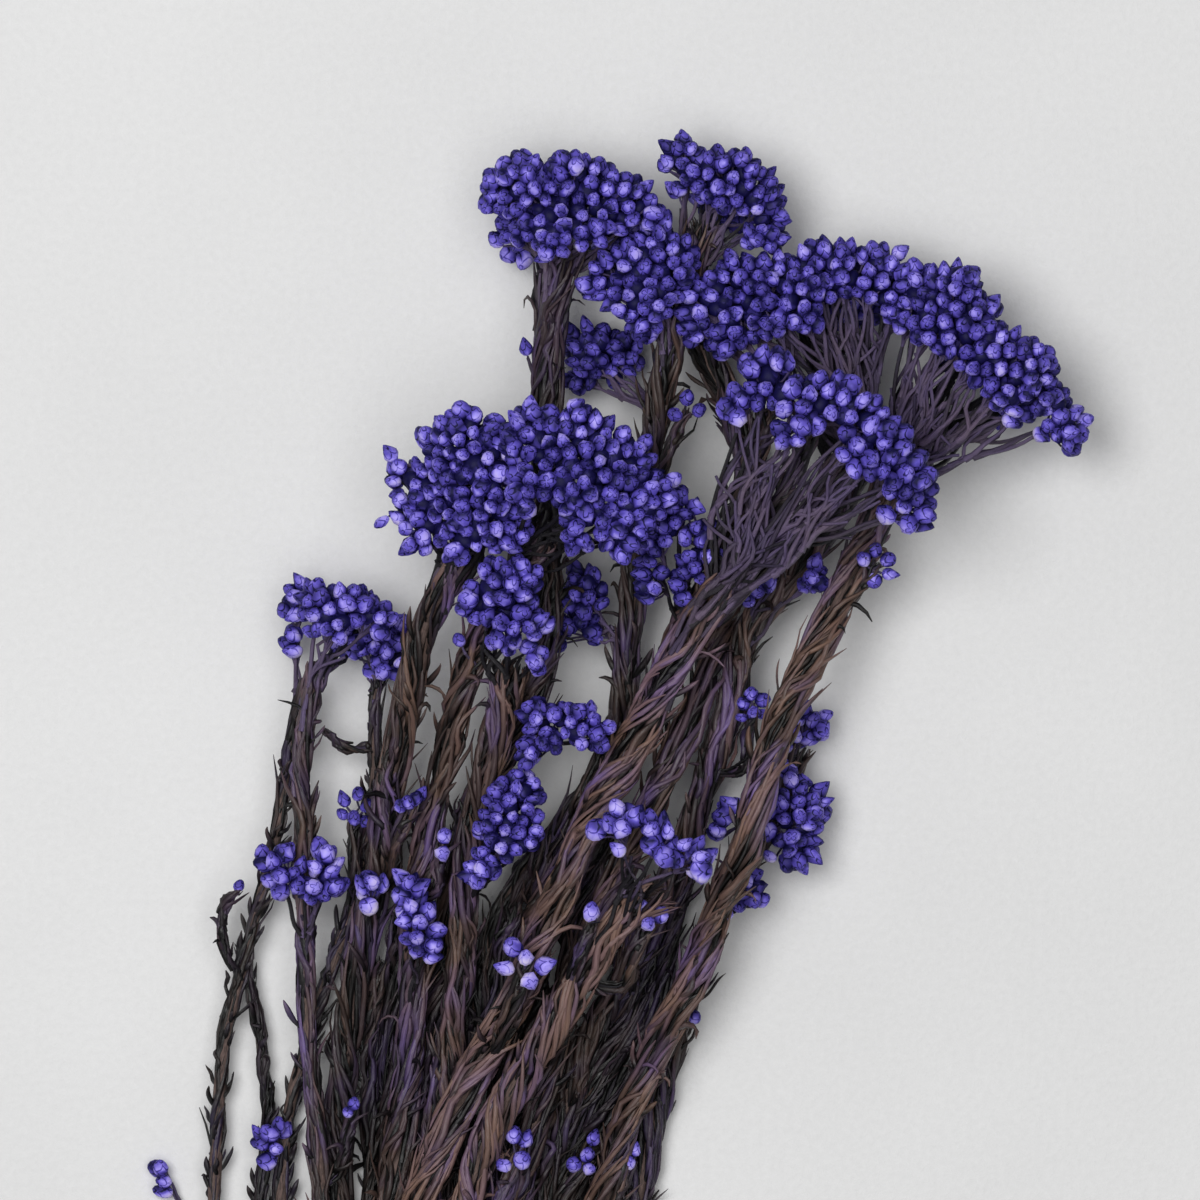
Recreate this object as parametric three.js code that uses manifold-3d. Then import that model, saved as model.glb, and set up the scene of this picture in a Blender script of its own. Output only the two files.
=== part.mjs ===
// A bunch of dried rice flower lying on a table: leafy woody stems, gathered by a rubber band near
// their cut ends, that open into flower heads of small buds on forked stalks.
// Millimetres, +Z up. The stems run along Y with the flowers towards +Y, and the table is at Z = 0.

import * as THREE from 'three';
import { mergeVertices } from 'three/addons/utils/BufferGeometryUtils.js';
import Module from 'manifold-3d';

const wasm = await Module();
wasm.setup();

// Clearance between neighbouring pieces
const GAP = 0.35;

// Woody stems
const WOOD_RADIUS_CUT = 2.0;
const WOOD_RADIUS_TIP = 1.2;
const WOOD_SIDES = 6;
const WOOD_STEP = 28;

// Leaf covers: ridged sleeves of overlapping leaves that spiral round the wood
const LEAF_RIDGES = 4;
const LEAF_VALLEY = 0.86;
const LEAF_TURN_LENGTH = 420;
const LEAF_STEP = 32;
const LEAF_START = 6;
const LEAF_TOP_SHARE = 0.72;
const LEAF_BOTTOM_SHARE = 0.76;

// Flower heads and sprigs
const BRANCH_RADIUS = 1.1;
const BRANCH_SIDES = 3;
const KNOT_RADIUS = 3.2;
const LOBE_SIDES = 5;
const LOBE_RINGS = 4;
const LOBE_FLATNESS = 0.8;

// The rubber band and the places where it holds the stems, three rows deep
const BAND_Y = -196;
const BAND_X = -72;
const BAND_WIDTH = 7;
const BAND_THICKNESS = 1.1;
const BAND_SIDES = 8;
const PLACE_PITCH = 4.6;
const ROW_PITCH = 4.2;
const END_SPREAD = 1.15;
const BAND_CLEARANCE = 0.7;
const FIRST_ROW_Z = BAND_THICKNESS + BAND_CLEARANCE + WOOD_RADIUS_CUT;

// Colours and roughness of the dried, dyed plant
const WOOD_COLOURS = [0x3a2c2c, 0x4a3a38, 0x5d4a45];
const LEAF_COLOURS = [0x3c3036, 0x54434a, 0x67555c];
const BUD_COLOURS = [0x4a3fa8, 0x3d3592, 0x5a50bd];
const BAND_COLOUR = 0xb08a5a;
const WOOD_ROUGHNESS = 0.8;
const LEAF_ROUGHNESS = 0.85;
const BUD_ROUGHNESS = 0.5;
const BAND_ROUGHNESS = 0.6;

// Each stem: its row (0 lowest) and place in the band, the Y of its cut end, the Y where its leaves
// stop, the radius of its leaf cover, the course of the wood from under its head to the band, and the
// lobes of its flower head, each a centre and a radius.
const STEMS = [
  {
    row: 1, place: -3, cut: -226, bare: -104, leaf: 3.9,
    course: [[-80, 94, 16], [-84, 75, 14], [-87, 56, 13], [-94, 29, 10], [-100, 4, 8], [-102, -21, 7],
      [-103, -71, 7], [-96, -138, 8]],
    lobes: [[-82, 110, 7, 6.5], [-80, 116, 18, 5.5], [-79, 104, 21, 5]],
  },
  {
    row: 1, place: -2, cut: -231, bare: -112, leaf: 3.9,
    course: [[-77, 97, 24], [-80, 74, 21], [-79, 39, 17], [-79, 14, 15], [-76, -24, 14], [-74, -71, 13],
      [-76, -134, 10]],
    lobes: [[-74, 113, 28, 8], [-66, 116, 34, 8.5], [-58, 113, 27, 7], [-68, 106, 36, 7.5],
      [-67, 110, 12, 8.5]],
  },
  {
    row: 0, place: -2.5, cut: -222, bare: -98, leaf: 3.5,
    course: [[-62, 94, 14], [-62, 69, 12], [-67, 42, 9], [-76, 14, 7], [-84, -14, 6], [-86, -44, 6],
      [-84, -96, 6], [-80, -144, 5]],
    lobes: [[-58, 106, 10, 7.5], [-64, 103, 6.5, 6.5], [-54, 112, 14, 6]],
  },
  {
    row: 0, place: -1.5, cut: -233, bare: -92, leaf: 4.3,
    course: [[-40, 125, 38], [-48, 112, 33], [-53, 92, 27], [-58, 69, 22], [-61, 46, 17], [-66, 24, 12],
      [-69, 4, 8], [-71, -24, 6], [-71, -71, 6], [-74, -141, 5]],
    lobes: [[-50, 154, 50, 9.5], [-40, 158, 56, 9], [-36, 148, 63, 9], [-53, 142, 46, 8.5],
      [-45, 136, 56, 8.5], [-35, 135, 58, 7]],
  },
  {
    row: 1, place: -1, cut: -224, bare: -106, leaf: 3.8,
    course: [[-22, 128, 42], [-31, 115, 38], [-38, 100, 33], [-44, 76, 27], [-49, 54, 22], [-52, 26, 18],
      [-53, 4, 15], [-57, -28, 14], [-62, -71, 13], [-70, -136, 10]],
    lobes: [[-25, 156, 60, 9.5], [-14, 159, 64, 9.5], [-2, 156, 62, 9.5], [8, 151, 55, 8.5],
      [-20, 146, 70, 9], [-8, 145, 73, 9.5], [5, 141, 63, 8.5], [-4, 134, 66, 8]],
  },
  {
    row: 1, place: 0, cut: -219, bare: -96, leaf: 4.0,
    course: [[-28, 94, 36], [-33, 76, 31], [-38, 52, 25], [-40, 26, 20], [-43, 2, 16], [-48, -28, 14],
      [-54, -71, 13], [-65, -136, 10]],
    lobes: [[-30, 119, 51, 7.5], [-23, 114, 56, 7.5], [-32, 108, 52, 7.5], [-25, 104, 48, 6.5]],
  },
  {
    row: 0, place: -0.5, cut: -230, bare: -110, leaf: 4.1,
    course: [[-16, 198, 28], [-18, 179, 24], [-18, 154, 22], [-18, 126, 24], [-19, 104, 26], [-25, 84, 23],
      [-36, 66, 18], [-41, 46, 14], [-44, 26, 10], [-48, -4, 7], [-54, -34, 6], [-60, -78, 6],
      [-69, -141, 5]],
    lobes: [[-29, 213, 30, 9], [-18, 219, 36, 9.5], [-5, 218, 33, 9], [-12, 207, 44, 8.5],
      [-25, 206, 11, 9], [-2, 207, 12, 8.5]],
  },
  {
    row: 0, place: 0.5, cut: -226, bare: -88, leaf: 3.6,
    course: [[13, 184, 30], [10, 166, 26], [6, 146, 22], [4, 126, 20], [2, 106, 19], [-1, 82, 16],
      [-9, 66, 14], [-20, 52, 12], [-29, 39, 10], [-34, 24, 8], [-38, 2, 7], [-42, -28, 6], [-49, -78, 6],
      [-64, -141, 5]],
    lobes: [[5, 204, 35, 9], [14, 203, 30, 8], [-2, 194, 31, 7.5], [8, 193, 44, 7.5], [11, 198, 12, 8.5]],
  },
  {
    row: 2, place: -0.5, cut: -228, bare: -116, leaf: 4.6,
    course: [[23, 117, 50], [15, 104, 46], [6, 86, 42], [-5, 66, 38], [-14, 46, 34], [-22, 26, 31],
      [-32, 6, 28], [-41, -11, 25], [-50, -34, 22], [-60, -71, 19], [-68, -136, 15]],
    lobes: [[36, 171, 58, 8.5], [46, 172, 68, 8.5], [56, 168, 62, 8.5], [65, 162, 72, 8.5],
      [72, 152, 62, 8], [74, 141, 55, 7], [60, 156, 52, 8.5], [48, 164, 50, 8], [67, 146, 68, 7.5],
      [70, 134, 58, 5.5]],
  },
  {
    row: 2, place: 0.5, cut: -221, bare: -100, leaf: 4.3,
    course: [[5, 41, 42], [-2, 34, 39], [-8, 25, 36], [-14, 14, 33], [-22, 2, 29], [-31, -14, 26],
      [-38, -34, 22], [-49, -71, 19], [-64, -136, 15]],
    lobes: [[-2, 56, 56, 7.5], [9, 58, 62, 8], [18, 55, 56, 6.5], [12, 50, 52, 6]],
  },
  {
    row: 1, place: 1, cut: -232, bare: -94, leaf: 3.5,
    course: [[19, 205, 26], [18, 192, 22], [21, 179, 18], [28, 166, 14], [32, 149, 12], [30, 126, 14],
      [24, 106, 20], [20, 92, 24], [13, 76, 27], [5, 59, 25], [-4, 40, 21], [-11, 22, 17], [-17, 2, 15],
      [-23, -21, 14], [-28, -41, 14], [-40, -81, 13], [-59, -136, 10]],
    lobes: [[18, 224, 28, 7.5], [28, 225, 34, 7.5], [36, 219, 30, 6], [36, 210, 24, 5.5],
      [26, 217, 11, 8.5]],
  },
  {
    row: 0, place: 2.5, cut: -225, bare: -108, leaf: 3.5,
    course: [[60, 152, 24], [54, 138, 21], [44, 124, 20], [32, 108, 20], [28, 90, 19], [21, 69, 16],
      [15, 52, 13], [8, 35, 10], [-2, 16, 8], [-9, 2, 7], [-15, -16, 6], [-20, -38, 6], [-32, -81, 6],
      [-52, -141, 5]],
    lobes: [[24, 192, 34, 8], [33, 197, 27, 8], [37, 187, 41, 8], [49, 198, 31, 8], [60, 196, 26, 8],
      [56, 189, 43, 8], [68, 192, 33, 7], [42, 192, 11, 9], [58, 191, 9.5, 9]],
  },
  {
    row: 1, place: 2, cut: -229, bare: -102, leaf: 4.0,
    course: [[68, 150, 30], [63, 134, 28], [56, 119, 30], [49, 104, 33], [41, 88, 36], [36, 73, 37],
      [32, 56, 36], [26, 43, 32], [20, 26, 27], [15, 15, 23], [9, 3, 19], [2, -14, 16], [-4, -34, 14],
      [-16, -71, 13], [-36, -108, 11], [-53, -136, 10]],
    lobes: [[77, 192, 32, 8], [86, 190, 44, 8.5], [94, 181, 36, 8.5], [102, 174, 46, 8.5],
      [110, 166, 34, 7.5], [106, 158, 20, 7], [86, 180, 14, 9], [98, 168, 10, 9], [114, 156, 30, 4]],
  },
  {
    row: 1, place: 3, cut: -223, bare: -90, leaf: 3.6,
    course: [[43, 74, 12], [39, 64, 12], [34, 54, 12], [29, 44, 11], [23, 34, 10], [18, 19, 8], [13, 2, 7],
      [8, -18, 6], [4, -38, 6], [-6, -76, 7], [-28, -114, 8], [-47, -141, 8]],
    lobes: [[44, 84, 12, 7], [50, 82, 8, 5.5]],
  },
  {
    row: 0, place: 1.5, cut: -218, bare: -86, leaf: 3.6,
    course: [[18, 114, 32], [12, 100, 28], [6, 86, 26], [-2, 70, 23], [-12, 52, 19], [-19, 40, 15],
      [-24, 26, 12], [-28, 12, 9], [-30, -6, 7], [-32, -31, 6], [-40, -78, 6], [-58, -141, 5]],
    lobes: [[15, 140, 50, 6.5], [11, 132, 54, 7], [16, 124, 46, 6], [8, 123, 43, 5.5]],
  },
];

// Clusters that leave a stem lower down, named after it: where they leave it, and their lobes
const SPRIGS = [
  {
    name: 'sprig_08_upper', from: [9, 162, 25],
    lobes: [[-5, 178, 12, 8], [1, 174, 10, 7], [-10, 174, 10, 6]],
  },
  {
    name: 'sprig_08_lower', from: [2, 104, 19],
    lobes: [[-8, 116, 24, 6.5], [-7, 110, 18, 6]],
  },
  {
    name: 'sprig_15', from: [5, 83, 25],
    lobes: [[-18, 83, 41, 7], [-10, 86, 44, 7], [-5, 78, 47, 5.5]],
  },
  {
    name: 'sprig_06', from: [-38, 40, 23],
    lobes: [[-30, 66, 40, 7], [-26, 58, 42, 7], [-32, 50, 38, 6.5]],
  },
  {
    name: 'sprig_02', from: [-79, 25, 16],
    lobes: [[-86, 50, 22, 6], [-78, 51, 26, 6.5], [-72, 46, 21, 5]],
  },
  {
    name: 'sprig_04', from: [-64, 29, 13],
    lobes: [[-63, 43, 27, 4.5]],
  },
  {
    name: 'sprig_05', from: [-52, 16, 20],
    lobes: [[-53, 42, 31, 5.5], [-49, 33, 32, 5]],
  },
  {
    name: 'sprig_14_upper', from: [36, 58, 12],
    lobes: [[28, 66, 20, 7], [39, 68, 22, 8], [48, 66, 10, 7], [42, 58, 8, 7.5]],
  },
  {
    name: 'sprig_14_lower', from: [23, 34, 10],
    lobes: [[29, 43, 24, 6.5], [34, 42, 20, 5]],
  },
  {
    name: 'sprig_12', from: [31, 104, 20],
    lobes: [[45, 116, 31, 6.5], [38, 120, 28, 5]],
  },
  {
    name: 'sprig_03', from: [-85, -34, 6],
    lobes: [[-87, -20, 10, 5]],
  },
  {
    name: 'sprig_01', from: [-102, -48, 7],
    lobes: [[-114, -29, 3, 3]],
  },
];

const UP = new THREE.Vector3(0, 1, 0);

// Shapes

// A solid from a closed geometry whose seams are still open
function solidOf(geometry) {
  geometry.deleteAttribute('normal');
  geometry.deleteAttribute('uv');
  const merged = mergeVertices(geometry, 1e-4);
  return new wasm.Manifold(new wasm.Mesh({
    numProp: 3,
    vertProperties: new Float32Array(merged.attributes.position.array),
    triVerts: new Uint32Array(merged.index.array),
  }));
}

// A closed limb bent along a curve. radiusAt gives its radius by the share of its length and the
// angle round it, and twist turns its section as it goes.
function limb(curve, sides, steps, radiusAt, twist = 0) {
  const geometry = new THREE.CylinderGeometry(1, 1, 1, sides, steps);
  const frames = curve.computeFrenetFrames(steps, false);
  const position = geometry.attributes.position;
  for (let i = 0; i < position.count; i += 1) {
    const station = Math.round((0.5 - position.getY(i)) * steps);
    const share = station / steps;
    const angle = Math.atan2(position.getZ(i), position.getX(i));
    const radius = Math.hypot(position.getX(i), position.getZ(i)) * radiusAt(share, angle);
    const point = curve.getPointAt(share);
    point.addScaledVector(frames.normals[station], radius * Math.cos(angle + twist * share));
    point.addScaledVector(frames.binormals[station], radius * Math.sin(angle + twist * share));
    position.setXYZ(i, point.x, point.y, point.z);
  }
  return solidOf(geometry);
}

// Part of a curve, from one share of its length to another
class Stretch extends THREE.Curve {
  constructor(curve, from, to) {
    super();
    this.curve = curve;
    this.from = from;
    this.to = to;
  }

  getPoint(t, target) {
    return this.curve.getPointAt(THREE.MathUtils.lerp(this.from, this.to, t), target);
  }
}

// The share of a curve's length at which it has come down to a given Y
function shareAtY(curve, y) {
  let above = 0;
  let below = 1;
  for (let i = 0; i < 20; i += 1) {
    const middle = (above + below) / 2;
    if (curve.getPointAt(middle).y > y) {
      above = middle;
    } else {
      below = middle;
    }
  }
  return above;
}

// Stems and leaf covers

function placeInBand(stem, spread) {
  const x = BAND_X + stem.place * PLACE_PITCH * spread;
  const z = FIRST_ROW_Z + stem.row * ROW_PITCH * spread;
  return [x, z];
}

function stemCurve(stem) {
  const [bandX, bandZ] = placeInBand(stem, 1);
  const [endX, endZ] = placeInBand(stem, END_SPREAD);
  const points = stem.course.map((point) => new THREE.Vector3(...point));
  points.push(new THREE.Vector3(bandX, BAND_Y + 2 * BAND_WIDTH, bandZ));
  points.push(new THREE.Vector3(bandX, BAND_Y, bandZ));
  points.push(new THREE.Vector3(bandX, BAND_Y - BAND_WIDTH, bandZ));
  points.push(new THREE.Vector3(endX, stem.cut, endZ));
  return new THREE.CatmullRomCurve3(points, false, 'centripetal');
}

function wood(curve, extra) {
  const steps = Math.round(curve.getLength() / WOOD_STEP);
  const radiusAt = (share) => THREE.MathUtils.lerp(WOOD_RADIUS_TIP, WOOD_RADIUS_CUT, share) + extra;
  return limb(curve, WOOD_SIDES, steps, radiusAt);
}

function leafCover(stem, extra) {
  const { curve } = stem;
  const stretch = new Stretch(curve, LEAF_START / curve.getLength(), shareAtY(curve, stem.bare));
  const length = stretch.getLength();
  const steps = Math.round(length / LEAF_STEP);
  const radiusAt = (share, angle) => {
    const top = THREE.MathUtils.lerp(LEAF_TOP_SHARE, 1, THREE.MathUtils.smoothstep(share, 0, 0.2));
    const bottom = THREE.MathUtils.lerp(1, LEAF_BOTTOM_SHARE, THREE.MathUtils.smoothstep(share, 0.5, 1));
    const ridge = THREE.MathUtils.lerp(LEAF_VALLEY, 1, (1 + Math.cos(LEAF_RIDGES * angle)) / 2);
    return stem.leaf * top * bottom * ridge + extra;
  };
  return limb(stretch, 2 * LEAF_RIDGES, steps, radiusAt, 2 * Math.PI * length / LEAF_TURN_LENGTH);
}

// Flower heads and sprigs: lobes of buds on forked branches that meet in a knot

function lobe(root, centre, radius, extra) {
  const geometry = new THREE.SphereGeometry(1, LOBE_SIDES, LOBE_RINGS);
  const depth = radius * LOBE_FLATNESS;
  geometry.scale(radius + extra, depth + extra, radius + extra);
  const axis = centre.clone().sub(root).normalize();
  geometry.applyQuaternion(new THREE.Quaternion().setFromUnitVectors(UP, axis));
  geometry.translate(centre.x, centre.y, centre.z);
  return solidOf(geometry);
}

function cluster(root, lobes, extra) {
  const knot = new THREE.OctahedronGeometry(KNOT_RADIUS + extra).translate(root.x, root.y, root.z);
  let solid = solidOf(knot);
  for (const [x, y, z, radius] of lobes) {
    const centre = new THREE.Vector3(x, y, z);
    const branch = new THREE.LineCurve3(root, centre);
    solid = solid.add(limb(branch, BRANCH_SIDES, 1, () => BRANCH_RADIUS + extra));
    solid = solid.add(lobe(root, centre, radius, extra));
  }
  return solid;
}

// The band: a closed loop pulled tight round the bundle

// The corners of the tightest loop round the given points, in order
function hull(points) {
  const sorted = [...points].sort((a, b) => a.x - b.x || a.y - b.y);
  const chain = (row) => {
    const kept = [];
    for (const point of row) {
      while (kept.length > 1) {
        const [last, before] = [kept.at(-1), kept.at(-2)];
        const side = last.clone().sub(before).cross(point.clone().sub(last));
        if (side > 1e-6) {
          break;
        }
        kept.pop();
      }
      kept.push(point);
    }
    return kept.slice(0, -1);
  };
  return [...chain(sorted), ...chain(sorted.reverse())];
}

function loopRound(distance) {
  const points = [];
  for (const stem of STEMS) {
    const [x, z] = placeInBand(stem, 1);
    for (let i = 0; i < BAND_SIDES; i += 1) {
      const angle = 2 * Math.PI * i / BAND_SIDES;
      points.push(new THREE.Vector2(x + distance * Math.cos(angle), z + distance * Math.sin(angle)));
    }
  }
  return hull(points);
}

function band() {
  const inner = WOOD_RADIUS_CUT + BAND_CLEARANCE;
  const shape = new THREE.Shape(loopRound(inner + BAND_THICKNESS));
  shape.holes.push(new THREE.Path(loopRound(inner)));
  const geometry = new THREE.ExtrudeGeometry(shape, { depth: BAND_WIDTH, bevelEnabled: false });
  geometry.rotateX(Math.PI / 2);
  geometry.translate(0, BAND_Y + BAND_WIDTH / 2, 0);
  return solidOf(geometry);
}

// Fitting the pieces round each other

function near(a, b) {
  const [first, second] = [a.boundingBox(), b.boundingBox()];
  return [0, 1, 2].every((i) => first.min[i] < second.max[i] && second.min[i] < first.max[i]);
}

// What is left of a solid once its neighbours have taken their room
function fitted(solid, neighbours) {
  let left = solid;
  for (const neighbour of neighbours) {
    if (near(left, neighbour)) {
      left = left.subtract(neighbour);
    }
  }
  const pieces = left.decompose();
  pieces.sort((a, b) => b.volume() - a.volume());
  return pieces[0];
}

function meshOf(name, solid, colour, roughness) {
  const { vertProperties, triVerts } = solid.getMesh();
  const geometry = new THREE.BufferGeometry();
  geometry.setAttribute('position', new THREE.BufferAttribute(new Float32Array(vertProperties), 3));
  geometry.setIndex(new THREE.BufferAttribute(new Uint32Array(triVerts), 1));
  geometry.computeVertexNormals();
  const material = new THREE.MeshStandardMaterial({ color: colour, roughness, metalness: 0 });
  const mesh = new THREE.Mesh(geometry, material);
  mesh.name = name;
  return mesh;
}

// The whole bunch

const bunch = new THREE.Group();
const stems = STEMS.map((stem, i) => {
  const label = String(i + 1).padStart(2, '0');
  return { ...stem, label, curve: stemCurve(stem) };
});
const taken = [];

for (const [i, stem] of stems.entries()) {
  bunch.add(meshOf(`stem_${stem.label}`, wood(stem.curve, 0), WOOD_COLOURS[i % 3], WOOD_ROUGHNESS));
  taken.push(wood(stem.curve, GAP));
}

for (const [i, stem] of stems.entries()) {
  const cover = fitted(leafCover(stem, 0), taken);
  bunch.add(meshOf(`leaves_${stem.label}`, cover, LEAF_COLOURS[i % 3], LEAF_ROUGHNESS));
  taken.push(leafCover(stem, GAP));
}

const heads = stems.map((stem) => (
  { name: `head_${stem.label}`, from: stem.course[0], lobes: stem.lobes }
));

for (const [i, { name, from, lobes }] of [...heads, ...SPRIGS].entries()) {
  const root = new THREE.Vector3(...from);
  const flowers = fitted(cluster(root, lobes, 0), taken);
  bunch.add(meshOf(name, flowers, BUD_COLOURS[i % 3], BUD_ROUGHNESS));
  taken.push(cluster(root, lobes, GAP));
}

bunch.add(meshOf('band', band(), BAND_COLOUR, BAND_ROUGHNESS));

export default bunch;
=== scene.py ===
"""A bunch of dried rice flower lying on a pale table.

Fifteen woody stems, each wrapped in locks of narrow dry leaves, run along Y with their flowers
towards +Y. Stalks that fork again and again carry the small buds of each head. Lengths in the tables
are millimetres, and the finished pieces are in metres.
"""

import math

import bpy
import numpy as np
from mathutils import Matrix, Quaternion, Vector, kdtree


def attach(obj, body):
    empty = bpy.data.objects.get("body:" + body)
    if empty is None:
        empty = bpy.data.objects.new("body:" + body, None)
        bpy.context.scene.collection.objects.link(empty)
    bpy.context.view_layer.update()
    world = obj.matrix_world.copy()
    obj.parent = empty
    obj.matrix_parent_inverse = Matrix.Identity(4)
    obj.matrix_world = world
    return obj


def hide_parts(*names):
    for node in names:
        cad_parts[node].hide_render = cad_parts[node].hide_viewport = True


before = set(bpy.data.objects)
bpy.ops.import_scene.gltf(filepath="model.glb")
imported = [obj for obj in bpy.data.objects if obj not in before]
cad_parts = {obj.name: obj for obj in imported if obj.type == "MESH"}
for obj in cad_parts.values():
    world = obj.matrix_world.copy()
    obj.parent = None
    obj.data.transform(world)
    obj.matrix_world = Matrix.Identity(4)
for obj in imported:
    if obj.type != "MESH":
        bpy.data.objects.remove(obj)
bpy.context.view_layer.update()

bl_info = {
    "name": "Dried rice flower bunch",
    "version": (1, 0, 0),
    "blender": (4, 5, 0),
    "location": "3D View > Sidebar > Rice Flower",
    "description": "Builds a bunch of dried rice flower, with its table, light and camera",
    "category": "Object",
}

MM = 0.001
UP = np.array((0.0, 0.0, 1.0))

# Woody stems: the radius at the cut end and under the head, and the step along them
WOOD_GIRTH_CUT = 2.25
WOOD_GIRTH_TIP = 1.2
WOOD_STEP = 4.0
WOOD_SIDES = 10

# The three steps of a cut end: how far out they stand, how wide they are, and where on the rings
CAP_OUT = (0.12, 0.1, 0.0)
CAP_GIRTH = (0.02, 0.86, 0.97)
CAP_RING = (0, 0.86, 0.93)
CAP_DEPTH = 0.15
WOOD_RINGS = 34.0

# Seeds, to which each stem, sprig and twig adds its number
STEM_SEED = 100
SPRIG_SEED = 300
TWIG_SEED = 500

# The rubber band, and how the stems lie in it, three rows deep, and spread at the cut ends
BAND_Y = -196
BAND_X = -72
BAND_WIDTH = 7
BAND_THICKNESS = 1.1
PLACE_PITCH = 4.6
ROW_PITCH = 4.2
END_SPREAD = 1.15
BAND_CLEARANCE = 0.7
WOOD_IN_BAND = 2.0
FIRST_ROW_Z = BAND_THICKNESS + BAND_CLEARANCE + WOOD_IN_BAND

# Points round each stem, ways in which the outermost is looked for, and points of one turn
ROUND_STEM = 48
LOOP_WAYS = 160
LOOP_POINTS = 96

# The band's section: its points, the powers that square it, and what is taken off each edge
SECTION_POINTS = 12
SIDE_POWER = 0.45
RISE_POWER = 0.7
EDGE_GAP = 0.06

# Where the band crosses back and starts to rise, as shares of its length, and how far it rises
BACK_FROM = 0.9
RISE_FROM = 0.88
BACK_RISE = 0.55

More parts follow.
